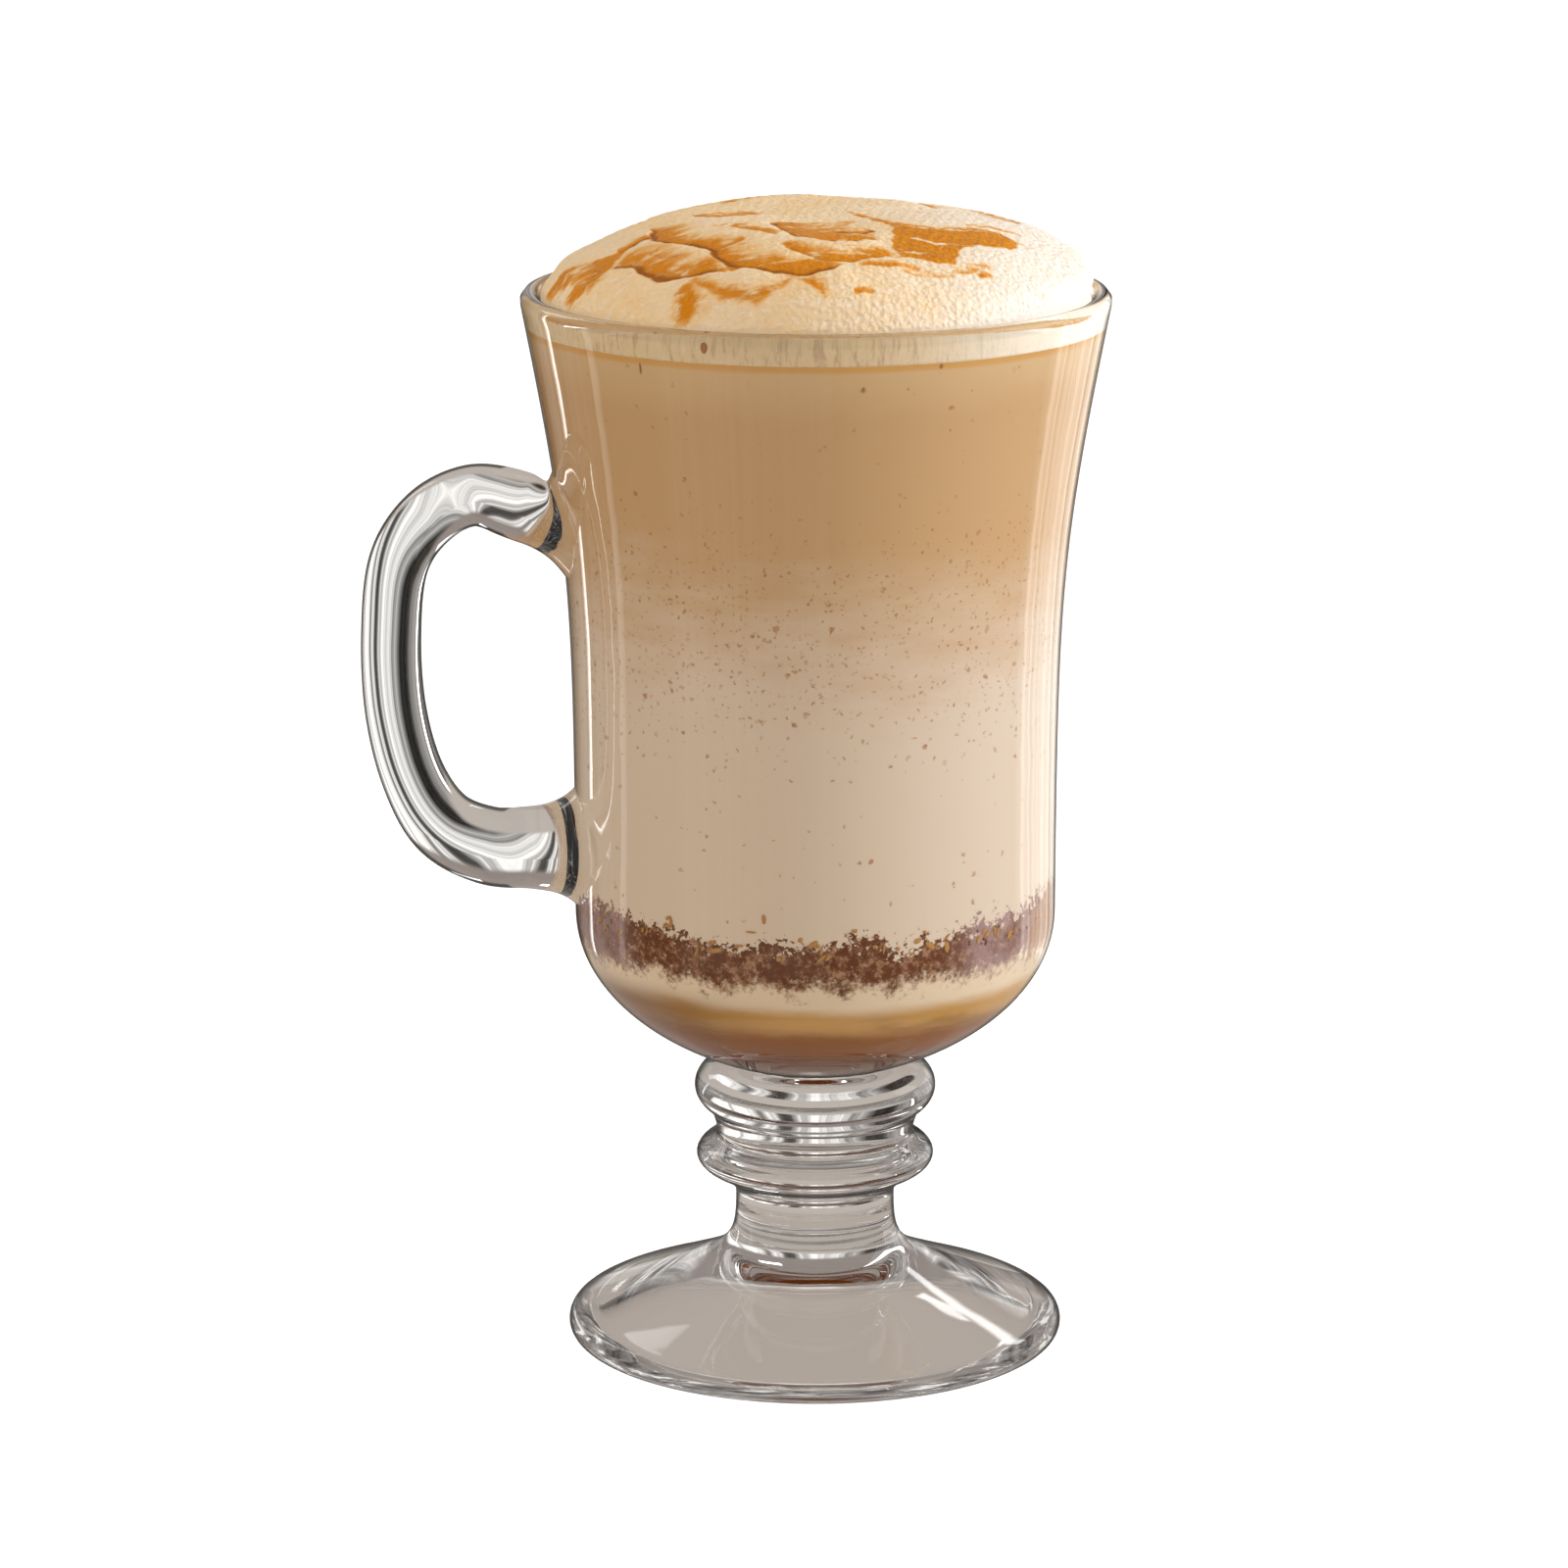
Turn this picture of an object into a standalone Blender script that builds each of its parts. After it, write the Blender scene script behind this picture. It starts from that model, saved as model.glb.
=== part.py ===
"""A layered milk coffee in its clear footed glass mug.

The mug is one piece of pressed glass: a flared bowl with a rounded bottom, two
bead rings, a short neck, a hollow conical foot with a thick edge, and a D-shaped
handle. The drink stands in it in five flat layers, caramel syrup at the bottom,
then cream, crumbly cocoa, milk and milky coffee, under a dome of milk foam that
rises above the lip and has caramel drawn into it.

Metres, +Z up. The mug stands on z = 0 with its handle on the -X side, and the
origin lies at the bottom centre of the whole object's box.
"""

import math

import bmesh
import bpy

MM = 0.001
COLLECTION = "layered_latte"

# Gap left between pieces that touch in the real object.
GAP = 0.3

# Bowl: a straight belly that flares softly to the lip, and a rounded bottom.
LIP_HEIGHT = 140.0
LIP_ROUND = 1.3
WALL = 2.6
BELLY_RADIUS = 31.45
FLARE_SLOPE = 0.2
FLARE_HEIGHT = 106.0
FLARE_SOFTNESS = 9.4
SHOULDER_HEIGHT = 58.2
FLARE_START = 72.0
BOWL_FLOOR_OUTSIDE = 35.9
BOWL_FLOOR_INSIDE = 40.0
ROUND_SIDEWAYS = 1.7
ROUND_DOWNWARD = 2.06

# Angle round the rounded bottom at which its outside runs into the upper bead.
BOTTOM_MEETS_BEAD = 65.0

# Stem: two bead rings over a short neck, each ring (radius, height, half width, half height).
UPPER_BEAD = (15.95, 34.1, 4.9, 3.9)
LOWER_BEAD = (15.75, 24.8, 6.6, 3.1)
BEAD_ARC = 58.0
NECK_RADIUS = 10.45
NECK_TOP = 20.3

# Foot: a cone that ends in a thick rounded edge, with a flat-topped hollow underneath.
FOOT_RADIUS = 32.75
FOOT_EDGE_HEIGHT = 3.0
FOOT_EDGE_ROUND = 1.9
FOOT_SPREAD = 11.3
FOOT_SPREAD_HEIGHT = 11.4
BEARING_OUTER = 31.0
BEARING_INNER = 28.3
HOLLOW_SLOPE = 0.43
HOLLOW_HEIGHT = 8.3
HOLLOW_RADIUS = 7.4
HOLLOW_ROUNDING = 0.78

# Handle route: (distance from the glass axis, height, half thickness), top root to bottom root.
HANDLE_ROUTE = (
    (31.9, 109.9, 6.4),
    (34.1, 110.0, 5.8),
    (38.2, 112.3, 4.7),
    (44.3, 113.9, 4.0),
    (50.0, 111.2, 4.0),
    (54.0, 105.2, 3.9),
    (55.1, 95.5, 3.9),
    (54.6, 85.5, 4.0),
    (52.4, 76.8, 4.2),
    (48.6, 70.5, 4.7),
    (42.8, 67.5, 5.1),
    (37.0, 67.1, 5.4),
    (33.0, 67.1, 6.3),
    (30.0, 67.1, 7.0),
)
HANDLE_OVAL = 1.12
HANDLE_REACH = 59.1

# The box of the whole object runs from the handle to the lip, so its centre lies off the glass axis.
LIP_RADIUS = 38.05
AXIS_X = (HANDLE_REACH - LIP_RADIUS) / 2

# Levels where one layer of the drink ends and the next begins.
SYRUP_TOP = 48.3
CREAM_TOP = 52.1
COCOA_TOP = 59.2
MILK_TOP = 102.0
COFFEE_TOP = 136.0

# The cocoa's crumbly upper edge: ripples round the axis, each (height, count, phase).
COCOA_RIPPLES = ((0.55, 7, 0.6), (0.35, 13, 2.0))

# Foam: a flat-topped dome, steep at its edge.
FOAM_CONTACT = 138.4
FOAM_SHOULDER = 142.4
FOAM_RISE = 7.8
FOAM_RADIUS = 35.3
FOAM_FULLNESS = 3.7
FOAM_EDGE_ROUND = 0.7
FOAM_BULGE_HEIGHT = 140.8
FOAM_BULGE_RADIUS = 35.05

# Caramel drawn into the foam, each stroke a route in X and Y from the glass axis.
GROOVE_DEPTH = 0.6
GROOVE_WIDTH = 1.7
CARAMEL_STROKES = (
    ((-26.5, -14.0), (-24.0, -19.0), (-20.5, -23.0), (-15.0, -25.5)),
    ((-21.0, -4.5), (-20.0, -13.5), (-16.5, -18.0), (-14.5, -23.0), (-7.0, -29.0), (-3.5, -28.5)),
    ((-20.0, -24.5), (-16.5, -28.5), (-10.5, -31.0), (-6.5, -30.0)),
    ((-13.0, -10.0), (-10.0, -14.5), (-8.0, -19.5)),
    ((-6.5, -12.5), (-5.5, -18.5), (-0.5, -19.5), (3.5, -19.0)),
    ((-5.5, -18.5), (-3.5, -10.5), (1.0, -4.5)),
    ((-6.0, -23.0), (-3.5, -25.5), (3.0, -25.5)),
    ((3.5, -0.5), (6.5, -9.0), (11.5, -12.5), (16.0, -12.5), (22.0, -9.0)),
    ((7.0, -24.5), (13.5, -24.0), (18.0, -19.0), (23.5, -12.0)),
    ((4.5, -28.0), (11.0, -26.5), (19.0, -23.5)),
)

# Facets: enough for a smooth outline, few enough to stay light.
GLASS_STEPS = 52
LAYER_STEPS = 40
FOAM_STEPS = 60
FOAM_RINGS = 16
LAYER_RING_SPACING = 9.0


def start_collection(name):
    """Empties the scene and returns a new collection for the model."""
    for old in list(bpy.data.objects):
        bpy.data.objects.remove(old)
    collection = bpy.data.collections.new(name)
    bpy.context.scene.collection.children.link(collection)
    return collection


def plain_material(name, colour, roughness, transmission=0.0):
    """Makes a Principled material of one colour; none of the pieces is metal."""
    material = bpy.data.materials.new(name)
    material.use_nodes = True
    shader = material.node_tree.nodes["Principled BSDF"]
    shader.inputs["Base Color"].default_value = (*colour, 1.0)
    shader.inputs["Roughness"].default_value = roughness
    shader.inputs["Metallic"].default_value = 0.0
    shader.inputs["Transmission Weight"].default_value = transmission
    return material


def oval_arc(centre_radius, centre_height, half_width, half_height, first, last, count):
    """Points on an oval between two angles in degrees, as (radius, height)."""
    points = []
    for index in range(count):
        angle = math.radians(first + (last - first) * index / (count - 1))
        points.append((centre_radius + half_width * math.cos(angle),
                       centre_height + half_height * math.sin(angle)))
    return points


def flare(height):
    """How far the bowl's side has swung out from the belly at a height."""
    softened = math.log1p(math.exp((height - FLARE_HEIGHT) / FLARE_SOFTNESS))
    return FLARE_SLOPE * FLARE_SOFTNESS * softened


def bowl_radius(height, belly, floor):
    """Radius of a bowl surface that has this belly radius and this lowest height."""
    if height >= SHOULDER_HEIGHT:
        return belly + flare(height) - flare(SHOULDER_HEIGHT)
    depth = min((SHOULDER_HEIGHT - height) / (SHOULDER_HEIGHT - floor), 1.0)
    return belly * (1.0 - depth ** ROUND_DOWNWARD) ** (1.0 / ROUND_SIDEWAYS)


def rounded_bottom(belly, floor, first, last, count):
    """Points round the bowl's bottom, from angle 0 at the shoulder to 90 on the axis."""
    points = []
    for index in range(count):
        angle = math.radians(first + (last - first) * index / (count - 1))
        points.append((belly * math.cos(angle) ** (2.0 / ROUND_SIDEWAYS),
                       SHOULDER_HEIGHT - (SHOULDER_HEIGHT - floor)
                       * math.sin(angle) ** (2.0 / ROUND_DOWNWARD)))
    return points


def heights(top, bottom, count):
    """Evenly spaced heights from top to bottom, both included."""
    return [top + (bottom - top) * index / (count - 1) for index in range(count)]


def cubic_points(corners, count):
    """Points on the cubic curve that four control points give."""
    points = []
    for index in range(count):
        t = index / (count - 1)
        weights = ((1 - t) ** 3, 3 * (1 - t) ** 2 * t, 3 * (1 - t) * t ** 2, t ** 3)
        points.append(tuple(sum(w * corner[axis] for w, corner in zip(weights, corners))
                            for axis in (0, 1)))
    return points


def foot_cone(count):
    """The hollow curve of the foot's upper face, from the neck to the edge."""
    return cubic_points(((NECK_RADIUS, NECK_TOP - 2.0), (NECK_RADIUS + 0.2, FOOT_SPREAD_HEIGHT),
                         (FOOT_SPREAD, FOOT_SPREAD_HEIGHT),
                         (FOOT_RADIUS - FOOT_EDGE_ROUND, FOOT_EDGE_HEIGHT)), count)


def foot_hollow(count):
    """The foot's underside, from the bearing ring up to the edge of the hollow's flat top."""
    meeting = BEARING_INNER - HOLLOW_HEIGHT / HOLLOW_SLOPE
    return cubic_points(((BEARING_INNER, 0.0),
                         ((BEARING_INNER + 2 * meeting) / 3, HOLLOW_HEIGHT * HOLLOW_ROUNDING),
                         (meeting, HOLLOW_HEIGHT), (HOLLOW_RADIUS, HOLLOW_HEIGHT)), count)


def glass_profile():
    """The mug's half section, from the inner floor over the lip and down to the foot's hollow."""
    inner_belly = BELLY_RADIUS - WALL
    lip_centre = LIP_HEIGHT - LIP_ROUND
    inside = rounded_bottom(inner_belly, BOWL_FLOOR_INSIDE, 90.0, 0.0, 8)
    inside[0] = (0.0, BOWL_FLOOR_INSIDE)
    inside += [(bowl_radius(z, inner_belly, BOWL_FLOOR_INSIDE), z)
               for z in heights(FLARE_START, lip_centre, 6)]
    lip = oval_arc(bowl_radius(lip_centre, BELLY_RADIUS, BOWL_FLOOR_OUTSIDE) - LIP_ROUND,
                   lip_centre, LIP_ROUND, LIP_ROUND, 150.0, 0.0, 5)
    outside = [(bowl_radius(z, BELLY_RADIUS, BOWL_FLOOR_OUTSIDE), z)
               for z in heights(lip_centre - 5.0, FLARE_START, 7)]
    outside += rounded_bottom(BELLY_RADIUS, BOWL_FLOOR_OUTSIDE, 0.0, BOTTOM_MEETS_BEAD, 7)
    beads = []
    for radius, height, half_width, half_height in (UPPER_BEAD, LOWER_BEAD):
        beads += oval_arc(radius - half_width, height, half_width, half_height,
                          BEAD_ARC, -BEAD_ARC, 5)
    foot = foot_cone(8)
    foot += oval_arc(FOOT_RADIUS - FOOT_EDGE_ROUND, FOOT_EDGE_HEIGHT / 2, FOOT_EDGE_ROUND,
                     FOOT_EDGE_HEIGHT / 2, 55.0, -60.0, 5)
    under = [(BEARING_OUTER, 0.0)] + foot_hollow(7) + [(0.0, HOLLOW_HEIGHT)]
    return inside + lip + outside + beads + [(NECK_RADIUS, NECK_TOP)] + foot + under


def turned_object(name, profile, steps, collection):
    """Turns a half section in the XZ plane about the Z axis with a Screw modifier."""
    mesh = bpy.data.meshes.new(name)
    points = [(radius * MM, 0.0, height * MM) for radius, height in profile]
    mesh.from_pydata(points, [(i, i + 1) for i in range(len(points) - 1)], [])
    turned = bpy.data.objects.new(name, mesh)
    collection.objects.link(turned)
    screw = turned.modifiers.new("Turn", "SCREW")
    screw.axis = "Z"
    screw.angle = math.tau
    screw.steps = steps
    screw.render_steps = steps
    screw.use_merge_vertices = True
    screw.merge_threshold = 0.00001
    screw.use_smooth_shade = True
    return turned


def made_mesh(source):
    """Gives an object the mesh that its modifiers make, and drops the modifiers."""
    depsgraph = bpy.context.evaluated_depsgraph_get()
    mesh = bpy.data.meshes.new_from_object(source.evaluated_get(depsgraph))
    mesh.name = source.name
    source.modifiers.clear()
    source.data = mesh
    return source


def make_handle(collection):
    """The D handle: a curve with a swelling bevel, made a mesh and widened to an oval."""
    curve = bpy.data.curves.new("handle_route", "CURVE")
    curve.dimensions = "3D"
    curve.bevel_depth = MM
    curve.bevel_resolution = 4
    curve.use_fill_caps = True
    curve.resolution_u = 3
    curve.render_resolution_u = 0
    spline = curve.splines.new("BEZIER")
    spline.bezier_points.add(len(HANDLE_ROUTE) - 1)
    for point, (reach, height, half_thickness) in zip(spline.bezier_points, HANDLE_ROUTE):
        point.co = (-reach * MM, 0.0, height * MM)
        point.radius = half_thickness
        point.handle_left_type = "AUTO"
        point.handle_right_type = "AUTO"
    route = bpy.data.objects.new("handle_route", curve)
    collection.objects.link(route)
    depsgraph = bpy.context.evaluated_depsgraph_get()
    mesh = bpy.data.meshes.new_from_object(route.evaluated_get(depsgraph))
    handle = bpy.data.objects.new("handle_cutter", mesh)
    handle.matrix_world = route.matrix_world
    collection.objects.link(handle)
    bpy.data.objects.remove(route)
    loose = bmesh.new()
    loose.from_mesh(mesh)
    bmesh.ops.remove_doubles(loose, verts=loose.verts, dist=0.00001)
    for vert in loose.verts:
        vert.co.y *= HANDLE_OVAL
    bmesh.ops.recalc_face_normals(loose, faces=loose.faces)
    loose.to_mesh(mesh)
    loose.free()
    handle.hide_render = True
    handle.display_type = "WIRE"
    return handle


def make_mug(collection, cutters):
    """The glass mug: the turned bowl, stem and foot, joined to the handle."""
    mug = turned_object("glass_mug", glass_profile(), GLASS_STEPS, collection)
    union = mug.modifiers.new("Handle", "BOOLEAN")
    union.operation = "UNION"
    union.solver = "EXACT"
    union.object = make_handle(cutters)
    mug.data.materials.append(plain_material("clear_glass", (0.95, 0.96, 0.95), 0.03, 1.0))
    return mug


def flat_level(_x, _y):
    """No unevenness."""
    return 0.0


def cocoa_unevenness(x, y):
    """The crumbly upper edge of the cocoa, in millimetres about its level."""
    angle = math.atan2(y, x)
    ripple = sum(rise * math.sin(count * angle + phase) for rise, count, phase in COCOA_RIPPLES)
    return ripple * min(math.hypot(x, y) / BELLY_RADIUS, 1.0)


def make_layer(name, bottom, top, collection, colour, roughness,
               bottom_unevenness=flat_level, top_unevenness=flat_level):
    """One layer of the drink, a gap away from the glass and from its neighbours."""
    belly = BELLY_RADIUS - WALL - GAP
    floor = BOWL_FLOOR_INSIDE + GAP
    high = top - GAP / 2
    low = bottom + GAP / 2
    side_count = 2 + int((high - low) / LAYER_RING_SPACING)
    side = [(bowl_radius(z, belly, floor), z) for z in heights(high, low, side_count)]
    profile = [(0.0, high), (side[0][0] / 2, high)] + side + [(side[-1][0] / 2, low), (0.0, low)]
    if bottom < BOWL_FLOOR_INSIDE + GAP:
        share = (SHOULDER_HEIGHT - high) / (SHOULDER_HEIGHT - floor)
        start = math.degrees(math.asin(share ** (ROUND_DOWNWARD / 2.0)))
        side = rounded_bottom(belly, floor, start, 90.0, 7)
        side[-1] = (0.0, floor)
        profile = [(0.0, high), (side[0][0] / 2, high)] + side
    layer = made_mesh(turned_object(name, profile, LAYER_STEPS, collection))
    middle = (top + bottom) / 2 * MM
    for vert in layer.data.vertices:
        unevenness = top_unevenness if vert.co.z > middle else bottom_unevenness
        vert.co.z += unevenness(vert.co.x / MM, vert.co.y / MM) * MM
    layer.data.materials.append(plain_material(name, colour, roughness))
    return layer


def foam_height(radius):
    """Height of the foam's top at a distance from the glass axis."""
    share = min(radius / FOAM_RADIUS, 1.0)
    return FOAM_SHOULDER + FOAM_RISE * (1.0 - share ** FOAM_FULLNESS)


def distance_to_stroke(x, y, stroke):
    """Shortest distance in plan from a point to a stroke."""
    nearest = math.inf
    for (ax, ay), (bx, by) in zip(stroke[:-1], stroke[1:]):
        run_x = bx - ax
        run_y = by - ay
        along = ((x - ax) * run_x + (y - ay) * run_y) / (run_x ** 2 + run_y ** 2)
        along = max(0.0, min(1.0, along))
        nearest = min(nearest, math.hypot(x - ax - along * run_x, y - ay - along * run_y))
    return nearest


def make_foam(collection):
    """The foam: a turned dome with shallow grooves where the caramel was drawn."""
    rim = FOAM_RADIUS - FOAM_EDGE_ROUND
    tops = [rim * math.sin(math.pi / 2 * i / FOAM_RINGS) for i in range(FOAM_RINGS + 1)]
    profile = [(radius, foam_height(radius)) for radius in tops]
    base = COFFEE_TOP + GAP / 2
    belly = BELLY_RADIUS - WALL - GAP
    profile.append((FOAM_BULGE_RADIUS, FOAM_BULGE_HEIGHT))
    profile += [(bowl_radius(z, belly, BOWL_FLOOR_INSIDE), z) for z in (FOAM_CONTACT, base)]
    profile += [(profile[-1][0] / 2, base), (0.0, base)]
    foam = made_mesh(turned_object("milk_foam", profile, FOAM_STEPS, collection))
    for vert in foam.data.vertices:
        if vert.co.z > FOAM_SHOULDER * MM:
            x = vert.co.x / MM
            y = vert.co.y / MM
            nearest = min(distance_to_stroke(x, y, stroke) for stroke in CARAMEL_STROKES)
            vert.co.z -= GROOVE_DEPTH * MM * math.exp(-((nearest / GROOVE_WIDTH) ** 2))
    foam.data.materials.append(plain_material("milk_foam", (0.83, 0.64, 0.44), 0.55))
    return foam


def build():
    """Builds the mug and its drink and sets them at the origin."""
    collection = start_collection(COLLECTION)
    cutters = bpy.data.collections.new("cutters")
    bpy.context.scene.collection.children.link(cutters)
    pieces = [
        make_mug(collection, cutters),
        make_layer("caramel_syrup", BOWL_FLOOR_INSIDE, SYRUP_TOP, collection, (0.32, 0.13, 0.03), 0.2),
        make_layer("cream_layer", SYRUP_TOP, CREAM_TOP, collection, (0.62, 0.45, 0.3), 0.4),
        make_layer("cocoa_layer", CREAM_TOP, COCOA_TOP, collection, (0.12, 0.05, 0.03), 0.7,
                   top_unevenness=cocoa_unevenness),
        make_layer("milk", COCOA_TOP, MILK_TOP, collection, (0.62, 0.45, 0.31), 0.4,
                   bottom_unevenness=cocoa_unevenness),
        make_layer("coffee", MILK_TOP, COFFEE_TOP, collection, (0.38, 0.21, 0.1), 0.4),
        make_foam(collection),
    ]
    for piece in pieces + list(cutters.objects):
        piece.location.x = AXIS_X * MM


build()
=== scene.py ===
"""Looks of a layered latte in its clear footed glass mug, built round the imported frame.

The mug is one pressed glass piece with a rounded lip, two bead rings and a handle whose
roots run softly into the bowl. The drink is five touching layers that reach just into the
glass, so that no air shows between them. The foam is a dome with folds drawn into it and
caramel lying in the folds. Sizes inside the classes are millimetres.
"""

import logging
import math
from dataclasses import dataclass, field
from enum import Enum

import bpy
import numpy as np
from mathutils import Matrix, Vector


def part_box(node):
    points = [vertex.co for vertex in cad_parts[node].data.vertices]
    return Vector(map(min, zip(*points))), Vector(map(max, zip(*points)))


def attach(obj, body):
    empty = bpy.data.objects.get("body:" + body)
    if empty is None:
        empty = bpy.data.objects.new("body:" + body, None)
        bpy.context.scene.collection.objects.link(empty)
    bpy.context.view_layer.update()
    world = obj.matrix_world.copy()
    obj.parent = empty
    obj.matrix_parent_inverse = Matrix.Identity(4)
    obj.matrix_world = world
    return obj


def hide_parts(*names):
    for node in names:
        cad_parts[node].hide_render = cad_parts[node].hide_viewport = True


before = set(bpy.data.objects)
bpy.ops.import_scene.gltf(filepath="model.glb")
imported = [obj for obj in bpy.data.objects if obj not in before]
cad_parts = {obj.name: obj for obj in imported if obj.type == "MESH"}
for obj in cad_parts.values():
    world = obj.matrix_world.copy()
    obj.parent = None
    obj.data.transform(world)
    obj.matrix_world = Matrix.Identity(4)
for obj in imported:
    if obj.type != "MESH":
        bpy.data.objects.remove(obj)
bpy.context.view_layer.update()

MM = 0.001
BODY = "root"
LOG = logging.getLogger("latte")
Point = tuple[float, float]
Profile = list[Point]
Triple = tuple[float, float, float]
Colour = Triple
Array = np.ndarray
Piece = bpy.types.Object
Material = bpy.types.Material
Tree = bpy.types.NodeTree
Node = bpy.types.Node
Socket = bpy.types.NodeSocket


class Side(Enum):
    """Which side of a glass wall a surface lies on."""

    INNER = "inner"
    OUTER = "outer"


class LayerName(Enum):
    """The drink's layers from the bottom up, by the node each one replaces."""

    SYRUP = "caramel_syrup"
    CREAM = "cream_layer"
    COCOA = "cocoa_layer"
    MILK = "milk"
    COFFEE = "coffee"


def node_levels(node: str) -> tuple[float, float]:
    """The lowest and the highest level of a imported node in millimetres."""
    low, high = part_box(node)
    return low[2] / MM, high[2] / MM


def glass_axis() -> float:
    """The X place of the glass's own axis in millimetres, from the round milk layer."""
    low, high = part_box(LayerName.MILK.value)
    return (low[0] + high[0]) / 2 / MM


def smooth_step(low: float, high: float, value: Array) -> Array:
    """Grades numbers softly from 0 at low to 1 at high."""
    share = np.clip((value - low) / (high - low), 0.0, 1.0)
    return share * share * (3.0 - 2.0 * share)


def resampled(points: Profile, spacing: float) -> Array:
    """Spreads points evenly along a route.

    Args:
        points: Corners of the route.
        spacing: Distance between the new points.

    Returns:
        Points along the route, both ends kept.
    """
    route = np.asarray(points, float)
    steps = np.hypot(*np.diff(route, axis=0).T)
    along = np.concatenate([[0.0], np.cumsum(steps)])
    count = max(2, int(round(along[-1] / spacing)) + 1)
    places = np.linspace(0.0, along[-1], count)
    return np.stack([np.interp(places, along, route[:, k]) for k in range(route.shape[1])], axis=1)


def softened(points: Array, passes: int) -> Array:
    """Rounds the corners of a finely spaced route.

    Args:
        points: Evenly spaced points.
        passes: How many times each point moves towards its neighbours.

    Returns:
        The rounded route with its ends kept.
    """
    route = points.copy()
    for _ in range(passes):
        route[1:-1] = route[1:-1] / 2 + (route[:-2] + route[2:]) / 4
    return route


def curve_through(points: Array, per_span: int) -> Array:
    """Draws a smooth curve through a few points.

    Args:
        points: Points that the curve passes, one row each.
        per_span: New points between two given ones.

    Returns:
        Points on the curve.
    """
    padded = np.vstack([2 * points[0] - points[1], points, 2 * points[-1] - points[-2]])
    curve = []
    for a, b, c, d in zip(padded[:-3], padded[1:-2], padded[2:-1], padded[3:]):
        for step in range(per_span):
            t = step / per_span
            curve.append(0.5 * (2 * b + (c - a) * t + (2 * a - 5 * b + 4 * c - d) * t ** 2
                                + (3 * b - a - 3 * c + d) * t ** 3))
    curve.append(points[-1])
    return np.array(curve)


def bezier(corners: tuple[Point, ...], count: int) -> Profile:
    """Points on a cubic curve.

    Args:
        corners: The curve's four control points.
        count: Number of points.

    Returns:
        Radius and height pairs.
    """
    points = []
    for t in np.linspace(0.0, 1.0, count):
        weights = ((1 - t) ** 3, 3 * (1 - t) ** 2 * t, 3 * (1 - t) * t ** 2, t ** 3)
        points.append(tuple(sum(w * c[k] for w, c in zip(weights, corners)) for k in (0, 1)))
    return points


def mesh_object(name: str, vertices: Array, faces: list[tuple[int, ...]]) -> Piece:
    """Makes a smooth-shaded mesh object at the origin.

    Args:
        name: Name of the object and its mesh.
        vertices: Corner places in millimetres.
        faces: Corner numbers of each face, counter-clockwise from outside.

    Returns:
        The new object, linked to the scene.
    """
    mesh = bpy.data.meshes.new(name)
    mesh.from_pydata((vertices * MM).tolist(), [], faces)
    mesh.shade_smooth()
    mesh.validate()
    piece = bpy.data.objects.new(name, mesh)
    bpy.context.scene.collection.objects.link(piece)
    return piece


def made_plain(piece: Piece) -> Piece:
    """Turns what an object's modifiers make into its plain mesh.

    Args:
        piece: Object with live modifiers.

    Returns:
        The same object with a plain mesh and no modifiers.
    """
    bpy.context.view_layer.update()
    depsgraph = bpy.context.evaluated_depsgraph_get()
    mesh = bpy.data.meshes.new_from_object(piece.evaluated_get(depsgraph))
    mesh.name = piece.name
    piece.modifiers.clear()
    piece.data = mesh
    return piece


def ring_places(radii: Array, heights: Array, angles: Array, axis_x: float) -> Array:
    """Places on level rings about the glass axis.

    Args:
        radii: Radius of each ring.
        heights: Height of each ring.
        angles: Bearings of the places on every ring.
        axis_x: X place of the axis.

    Returns:
        One row for each place, ring by ring.
    """
    reach = radii[:, None]
    return np.stack([axis_x + reach * np.cos(angles), reach * np.sin(angles),
                     np.repeat(heights[:, None], len(angles), axis=1)], axis=-1).reshape(-1, 3)


def turned_points(profile: Array, steps: int, axis_x: float,
                  crowding: float = 0.0) -> tuple[Array, list]:
    """Turns a half section about the glass axis.

    Args:
        profile: Radius and height rows from the axis, round the outside, to the axis again.
        steps: Divisions round the axis.
        axis_x: X place of the axis.
        crowding: How much closer than the mean the divisions stand at the front.

    Returns:
        Corner places and faces that point outwards.
    """
    angles = np.arange(steps) * math.tau / steps
    angles = angles - crowding * np.cos(angles)
    count = len(profile) - 2
    places = ring_places(profile[1:-1, 0], profile[1:-1, 1], angles, axis_x)
    ends = [[axis_x, 0.0, profile[0, 1]], [axis_x, 0.0, profile[-1, 1]]]
    first, last = len(places), len(places) + 1
    faces = []
    for j in range(steps):
        k = (j + 1) % steps
        faces.append((first, j, k))
        faces.extend((i * steps + j, (i + 1) * steps + j, (i + 1) * steps + k, i * steps + k)
                     for i in range(count - 1))
        faces.append(((count - 1) * steps + j, last, (count - 1) * steps + k))
    return np.vstack([places, ends]), faces


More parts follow.
